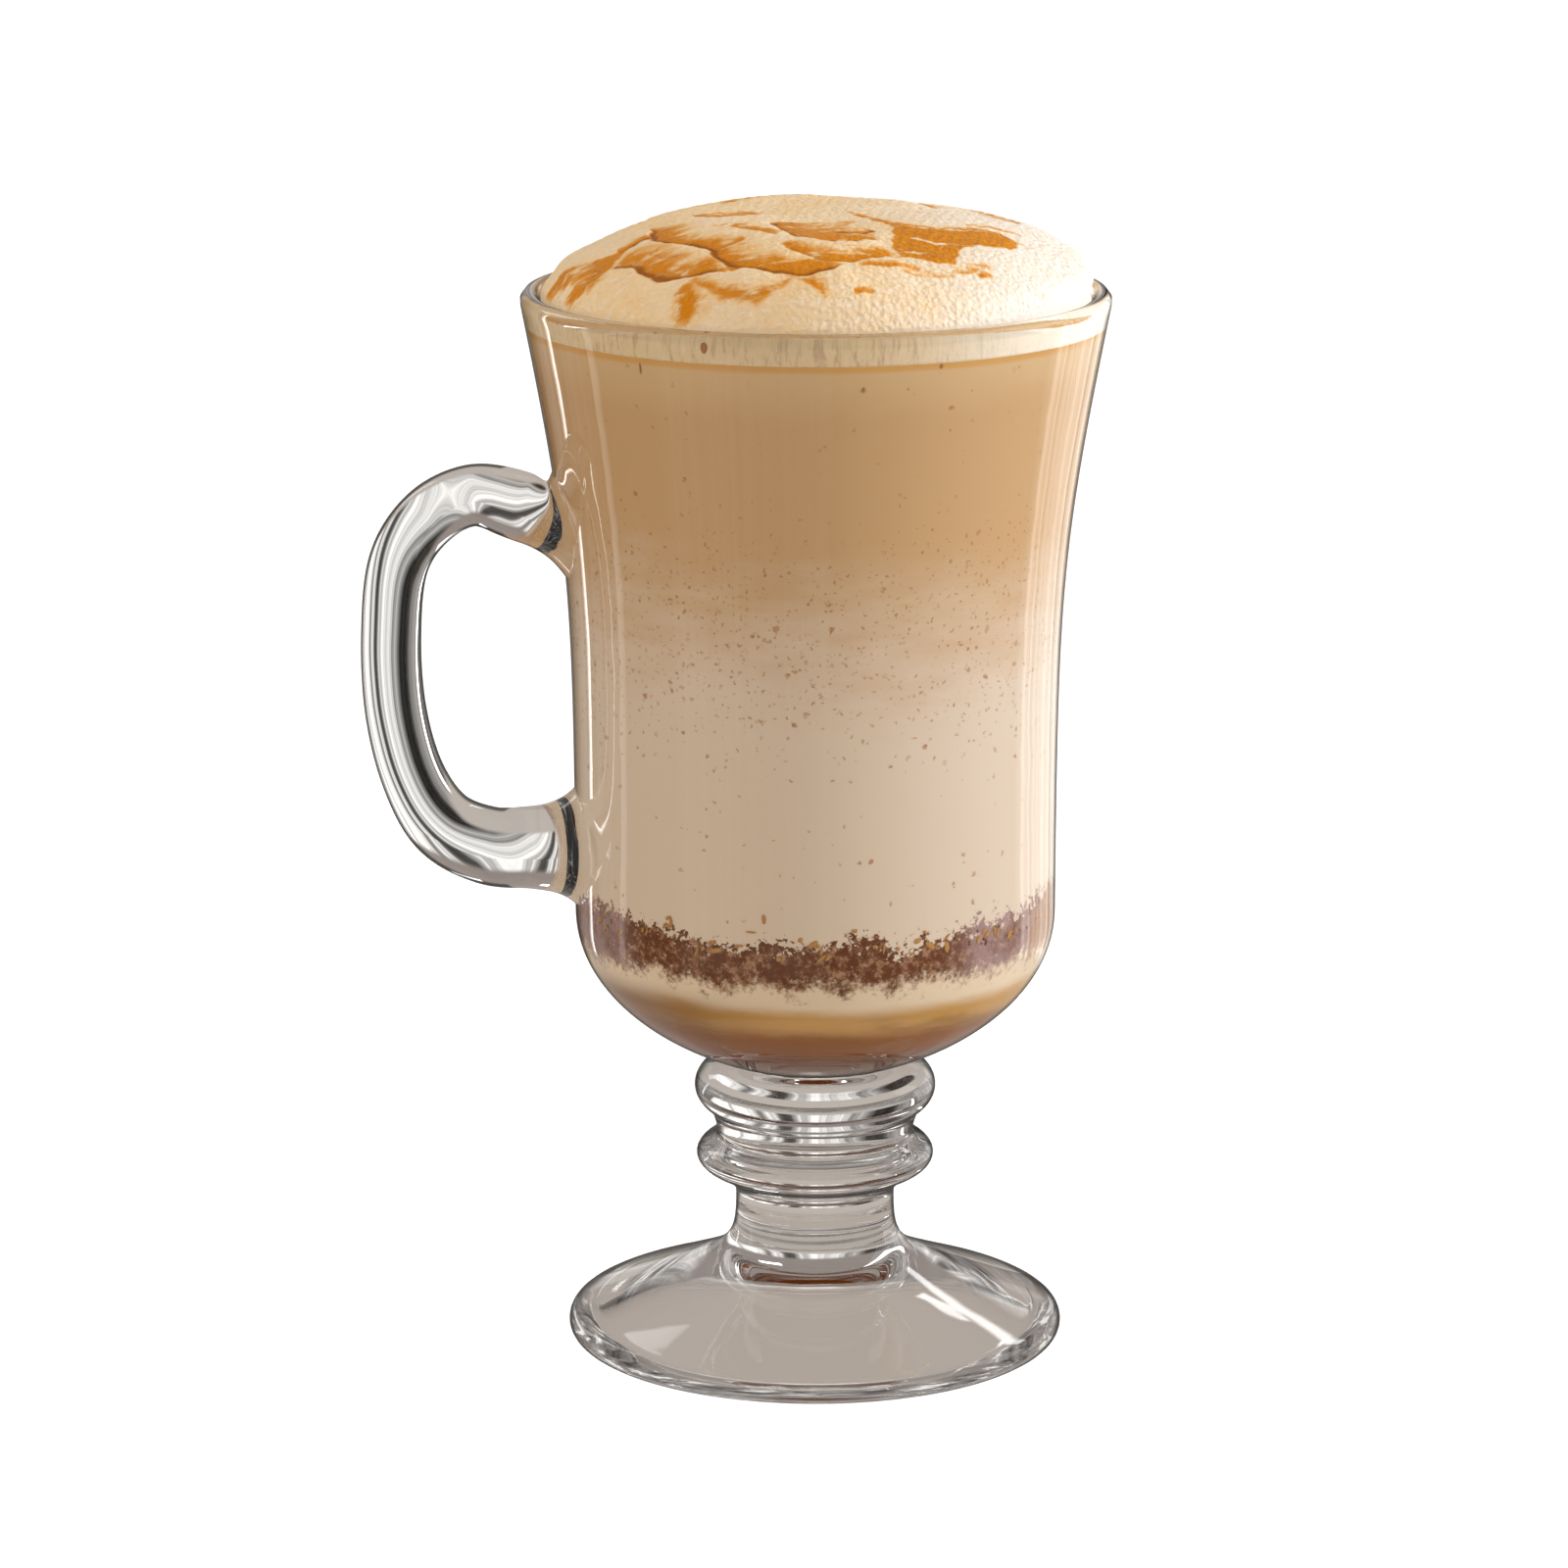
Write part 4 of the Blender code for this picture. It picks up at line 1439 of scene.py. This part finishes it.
@dataclass
class WallDrips:
    """The few drips of coffee and caramel that cling under the lip."""

    axis_x: float
    drips: tuple[Drip, ...] = (
        Drip(-17.0, 137.8, 0.42, 0.55, -0.5),
        Drip(-24.1, 134.9, 0.14, 1.0, 0.3),
        Drip(11.6, 135.6, 0.25, 0.35),
        Drip(2.0, 133.0, 0.25, 0.4),
    )
    colour: Colour = (0.3, 0.125, 0.04)
    sunk: float = 0.15
    depth: float = 0.12
    sides: int = 8
    levels: int = 5

    def places(self, drip: Drip) -> list[Array]:
        """Corner places of one drip, from its lower tip to its upper tip.

        Args:
            drip: The drip.

        Returns:
            The lower tip, the rings between and the upper tip.
        """
        radius = float(BOWL.radius(np.array([drip.height]), Side.INNER, self.sunk)[0])
        out = np.array([drip.aside, -math.sqrt(radius ** 2 - drip.aside ** 2), 0.0]) / radius
        along = np.array([-out[1], out[0], 0.0])
        middle = np.array([self.axis_x, 0.0, drip.height]) + out * radius
        places = []
        for level in np.linspace(-1.0, 1.0, self.levels + 2):
            ring = math.cos(level * math.pi / 2) * (1.0 - drip.taper * level)
            up = middle + np.array([0.0, 0.0, math.sin(level * math.pi / 2) * drip.half_height])
            turns = np.arange(self.sides) * math.tau / self.sides if abs(level) < 1.0 else [0.0]
            places += [up + along * (ring * drip.half_width * math.cos(turn))
                       + out * (ring * self.depth * math.sin(turn)) for turn in turns]
        return places

    def build(self) -> Piece:
        """Forms the drips and joins them into one piece.

        Returns:
            The finished piece.
        """
        vertices: list[Array] = []
        faces: list[tuple[int, ...]] = []
        for drip in self.drips:
            first = len(vertices)
            vertices += self.places(drip)
            last = len(vertices) - 1
            for j in range(self.sides):
                k = (j + 1) % self.sides
                faces.append((first, first + 1 + k, first + 1 + j))
                faces.append((last, last - self.sides + j, last - self.sides + k))
                for low in range(first + 1, last - self.sides, self.sides):
                    faces.append((low + j, low + k, low + self.sides + k, low + self.sides + j))
        drips = mesh_object("wall_drips", np.array(vertices), faces)
        drips.data.materials.append(dull_material("drip_look", self.colour, 0.4))
        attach(drips, BODY)
        return drips


@dataclass(frozen=True)
class Glare:
    """A bright window in the room's wall, in degrees round and up."""

    bearing: float
    half_width: float
    low: float
    high: float
    strength: float


@dataclass(frozen=True)
class Room:
    """The room that only the glass sees: bright and dark bands round the mug.

    Bearings run in degrees from straight behind the mug, positive towards the right.
    """

    bands: tuple[Point, ...] = (
        (-180.0, 0.25), (-112.0, 0.3), (-106.0, 0.03), (-77.0, 0.03), (-75.0, 1.8), (-73.0, 1.8),
        (-72.0, 0.03), (-62.0, 0.3), (-53.0, 0.2), (-46.0, 0.2), (-45.0, 5.0), (-43.0, 5.0),
        (-42.0, 0.2), (-35.0, 0.4), (-25.0, 0.02), (-15.0, 0.02), (-12.0, 0.35), (-5.0, 0.45),
        (-3.0, 1.0), (12.0, 0.8), (14.0, 0.06), (18.0, 0.06), (20.0, 1.1), (26.0, 0.3),
        (31.0, 1.3), (42.0, 1.2), (47.0, 1.5), (58.0, 1.7), (75.0, 1.6), (81.0, 0.03),
        (110.0, 0.03),
    )
    tint: Colour = (1.0, 0.97, 0.94)
    line_scale: float = 0.25
    upper: Colour = (0.29, 0.25, 0.23)
    overhead: Colour = (0.16, 0.15, 0.14)
    glares: tuple[Glare, ...] = (
        Glare(32.0, 8.5, 32.8, 36.2, 6.5),
        Glare(-34.0, 5.0, 18.0, 45.0, 2.5),
        Glare(80.0, 14.0, 15.0, 50.0, 1.5),
    )
    soft_low: Colour = (0.12, 0.118, 0.115)
    soft_high: Colour = (1.3, 1.24, 1.16)
    seen: Colour = (1.0, 1.0, 1.0)

    def group(self) -> Tree:
        """Builds the group that turns a bearing into the bands' colour.

        Returns:
            A group with the inputs X and Y and the outputs Colour and Bearing.
        """
        group, bench, source, sink = new_group(
            "room_bands", {"X": 0.0, "Y": 0.0},
            {"Colour": "NodeSocketColor", "Bearing": "NodeSocketFloat"})
        bearing = bench.math("ARCTAN2", source.outputs["X"], source.outputs["Y"])
        degrees = bench.times(bearing, 180.0 / math.pi)
        ramp = bench.add("ShaderNodeValToRGB", {0: bench.sum_of(degrees, 1 / 360.0, 0.5)})
        stops = ramp.color_ramp.elements
        while len(stops) < len(self.bands):
            stops.new(0.5)
        for stop, (angle, value) in zip(stops, self.bands):
            stop.position = (angle + 180.0) / 360.0
            stop.color = (*(value * share for share in self.tint), 1.0)
        line = bench.add("ShaderNodeCombineXYZ", {0: bench.times(degrees, self.line_scale)})
        lines = bench.noise(line.outputs[0], 1.0, 3.0, 0.6)
        drawn = bench.add("ShaderNodeVectorMath", {
            0: ramp.outputs[0], "Scale": bench.grade(lines, 0.3, 0.7, 0.35, 1.5)}, operation="SCALE")
        bench.feed(sink, {"Colour": drawn.outputs[0], "Bearing": degrees})
        return group

    def world(self, bands: Tree) -> bpy.types.World:
        """Builds the surroundings: white to the eye, plain soft light, the bands for the glass.

        Args:
            bands: The bands' group.

        Returns:
            The world.
        """
        world = bpy.data.worlds.new("studio_room")
        world.use_nodes = True
        bench = Bench(world.node_tree)
        bench.nodes.clear()
        place = bench.add("ShaderNodeTexCoord").outputs["Generated"]
        x, y, z = bench.add("ShaderNodeSeparateXYZ", {0: place}).outputs
        banded = bench.add("ShaderNodeGroup", {"X": x, "Y": y}, node_tree=bands).outputs
        up = bench.times(bench.math("ARCSINE", z), 180.0 / math.pi)
        room = bench.over(banded["Colour"], self.upper, up, 8.0, 16.0)
        room = bench.over(room, self.overhead, up, 48.0, 60.0)
        for glare in self.glares:
            aside = bench.math("ABSOLUTE", bench.math("SUBTRACT", banded["Bearing"], glare.bearing))
            inside = bench.grade(aside, glare.half_width, glare.half_width - 1.5)
            share = bench.times(inside, bench.times(
                bench.grade(up, glare.low - 1.0, glare.low + 1.0),
                bench.grade(up, glare.high + 1.0, glare.high - 1.0)))
            room = bench.blend(share, room, (glare.strength,) * 3)
        soft = bench.over(self.soft_low, self.soft_high, up, 15.0, 60.0)
        glass, dull, eye = (bench.glow(colour, "ShaderNodeBackground")
                            for colour in (room, soft, self.seen))
        path = bench.add("ShaderNodeLightPath").outputs
        lit = bench.either(path["Is Diffuse Ray"], glass, dull)
        bench.add("ShaderNodeOutputWorld", {0: bench.either(path["Is Camera Ray"], lit, eye)})
        return world


@dataclass(frozen=True)
class FloorLook:
    """The pale floor: white to the eye; through the glass, a painted glow, taupe near by and banded far
    off.
    """

    axis_x: float
    grey: float = 0.8
    seen: float = 0.34
    glow: float = 0.12
    # Colours of the painted glow that only rays through the glass see.
    under_foot_glow: Colour = (0.47, 0.41, 0.362)
    near_front_glow: Colour = (0.13, 0.09, 0.058)
    near_behind_glow: Colour = (0.53, 0.475, 0.43)
    foot_reach: float = 42.0
    near_reach: float = 130.0
    turn_reach: float = 20.0

    def material(self, bands: Tree) -> Material:
        """Makes the floor's material.

        Args:
            bands: The bands' group.

        Returns:
            The material.
        """
        material, bench, shader = new_material("pale_floor", {
            "Base Color": (self.grey,) * 3, "Roughness": 0.9, "Specular IOR Level": 0.0,
            "Emission Strength": 1.0})
        _, x, y, _ = bench.place()
        x = bench.math("SUBTRACT", x, self.axis_x * MM)
        away = bench.away(x, y)
        banded = bench.add("ShaderNodeGroup", {"X": x, "Y": y}, node_tree=bands)
        behind = bench.grade(y, -self.turn_reach * MM, self.turn_reach * MM)
        near = bench.blend(behind, self.near_front_glow, self.near_behind_glow)
        near = bench.over(self.under_foot_glow, near, away, self.foot_reach * MM, self.foot_reach * 1.1 * MM)
        far = bench.grade(away, self.near_reach * MM, self.near_reach * 1.2 * MM)
        # A painted glow that only rays through the glass see, standing in for the room's shade: taupe
        # under the foot, dark in front, paler behind.
        through = bench.glow(bench.blend(far, near, banded.outputs["Colour"]))
        path = bench.add("ShaderNodeLightPath").outputs
        seen = path["Is Camera Ray"]
        bench.feed(shader, {"Emission Color": bench.blend(seen, (self.glow,) * 3, (self.seen,) * 3)})
        plain = bench.math("MAXIMUM", seen, path["Is Diffuse Ray"])
        bench.feed(bench.nodes["Material Output"], {0: bench.either(plain, through, shader.outputs[0])})
        return material


@dataclass(frozen=True)
class Panel:
    """A soft light aimed at the mug; its place is measured from the glass axis."""

    name: str
    place: Triple
    width: float
    height: float
    power: float
    colour: Colour
    aim_height: float = 80.0

    def hang(self, axis_x: float) -> None:
        """Hangs the panel where only dull surfaces take its light.

        Args:
            axis_x: X place of the glass axis.
        """
        data = bpy.data.lights.new(self.name, "AREA")
        data.shape = "RECTANGLE"
        data.size, data.size_y = self.width * MM, self.height * MM
        data.energy = self.power
        data.color = self.colour
        panel = bpy.data.objects.new(self.name, data)
        bpy.context.scene.collection.objects.link(panel)
        x, y, z = self.place
        panel.location = ((x + axis_x) * MM, y * MM, z * MM)
        panel.rotation_euler = (math.atan2(math.hypot(x, y), z - self.aim_height), 0.0,
                                math.atan2(x, -y))
        panel.visible_camera = False
        panel.visible_glossy = False
        panel.visible_transmission = False


@dataclass
class Studio:
    """The pale floor, the soft lights, the surroundings and the camera."""

    axis_x: float
    floor_reach: float = 3000.0
    camera_distance: float = 810.0
    camera_height: float = 266.8
    camera_pitch: float = 13.345
    camera_turn: float = -6.0
    camera_aside: float = -4.1
    lens: float = 146.25
    sensor: float = 36.0
    room: Room = field(default_factory=Room)
    panels: tuple[Panel, ...] = (
        Panel("key_right", (850.0, -200.0, 260.0), 260.0, 600.0, 9.6, (0.88, 1.0, 1.2)),
        Panel("fill_left", (-750.0, -520.0, 380.0), 600.0, 500.0, 2.7, (1.0, 0.99, 0.98)),
    )

    def floor(self, bands: Tree) -> Piece:
        """Lays the floor.

        Args:
            bands: The bands' group.

        Returns:
            The floor.
        """
        corners = np.array([(-1, -1, 0), (1, -1, 0), (1, 1, 0), (-1, 1, 0)], float)
        floor = mesh_object("studio_floor", corners * self.floor_reach, [(0, 1, 2, 3)])
        floor.data.materials.append(FloorLook(self.axis_x).material(bands))
        return floor

    def camera(self) -> None:
        """Sets the camera at the photograph's angle."""
        data = bpy.data.cameras.new("camera")
        data.lens = self.lens
        data.sensor_width = self.sensor
        camera = bpy.data.objects.new("camera", data)
        bpy.context.scene.collection.objects.link(camera)
        turn = math.radians(self.camera_turn)
        x = self.axis_x + self.camera_distance * math.sin(turn) + self.camera_aside * math.cos(turn)
        y = -self.camera_distance * math.cos(turn) + self.camera_aside * math.sin(turn)
        camera.location = (x * MM, y * MM, self.camera_height * MM)
        camera.rotation_euler = (math.radians(90.0 - self.camera_pitch), 0.0, turn)
        bpy.context.scene.camera = camera

    def build(self) -> None:
        """Sets up the whole studio."""
        bands = self.room.group()
        bpy.context.scene.world = self.room.world(bands)
        self.floor(bands)
        for panel in self.panels:
            panel.hang(self.axis_x)
        self.camera()


FINISHES: dict[LayerName, DrinkFinish] = {
    LayerName.SYRUP: DrinkFinish("syrup_look", "caramel_syrup", 0.15),
    LayerName.CREAM: DrinkFinish("cream_look", "cream", 0.4),
    LayerName.COCOA: DrinkFinish("cocoa_look", "cocoa", 0.7),
    LayerName.MILK: DrinkFinish("milk_look", "milk", 0.35),
    LayerName.COFFEE: DrinkFinish("coffee_look", "milky_coffee", 0.35),
}


def report(piece: Piece) -> None:
    """Reports a finished piece and its number of faces."""
    LOG.info("%s: %d faces", piece.name, len(piece.data.polygons))


def main() -> None:
    """Builds the mug, its drink and the studio, and reports each piece."""
    logging.basicConfig(level=logging.INFO, format="%(name)s: %(message)s")
    bpy.context.scene.view_settings.view_transform = "Standard"
    axis_x = glass_axis()
    report(GlassMug(axis_x).build())
    colours = DrinkColours(axis_x).group()
    for name, finish in FINISHES.items():
        report(DrinkLayer(name, axis_x, finish).build(colours))
    report(WallFlecks(axis_x, "amber_flecks", "caramel_syrup", (0.36, 0.17, 0.05),
                      58.8, 65.5, 0.3, 0.75, 3).build())
    report(WallFlecks(axis_x, "cocoa_flecks", "cocoa", (0.13, 0.055, 0.025),
                      58.6, 63.0, 0.8, 0.42, 8).build())
    report(WallDrips(axis_x).build())
    report(Foam(axis_x).build())
    Studio(axis_x).build()


if __name__ == "__main__":
    main()
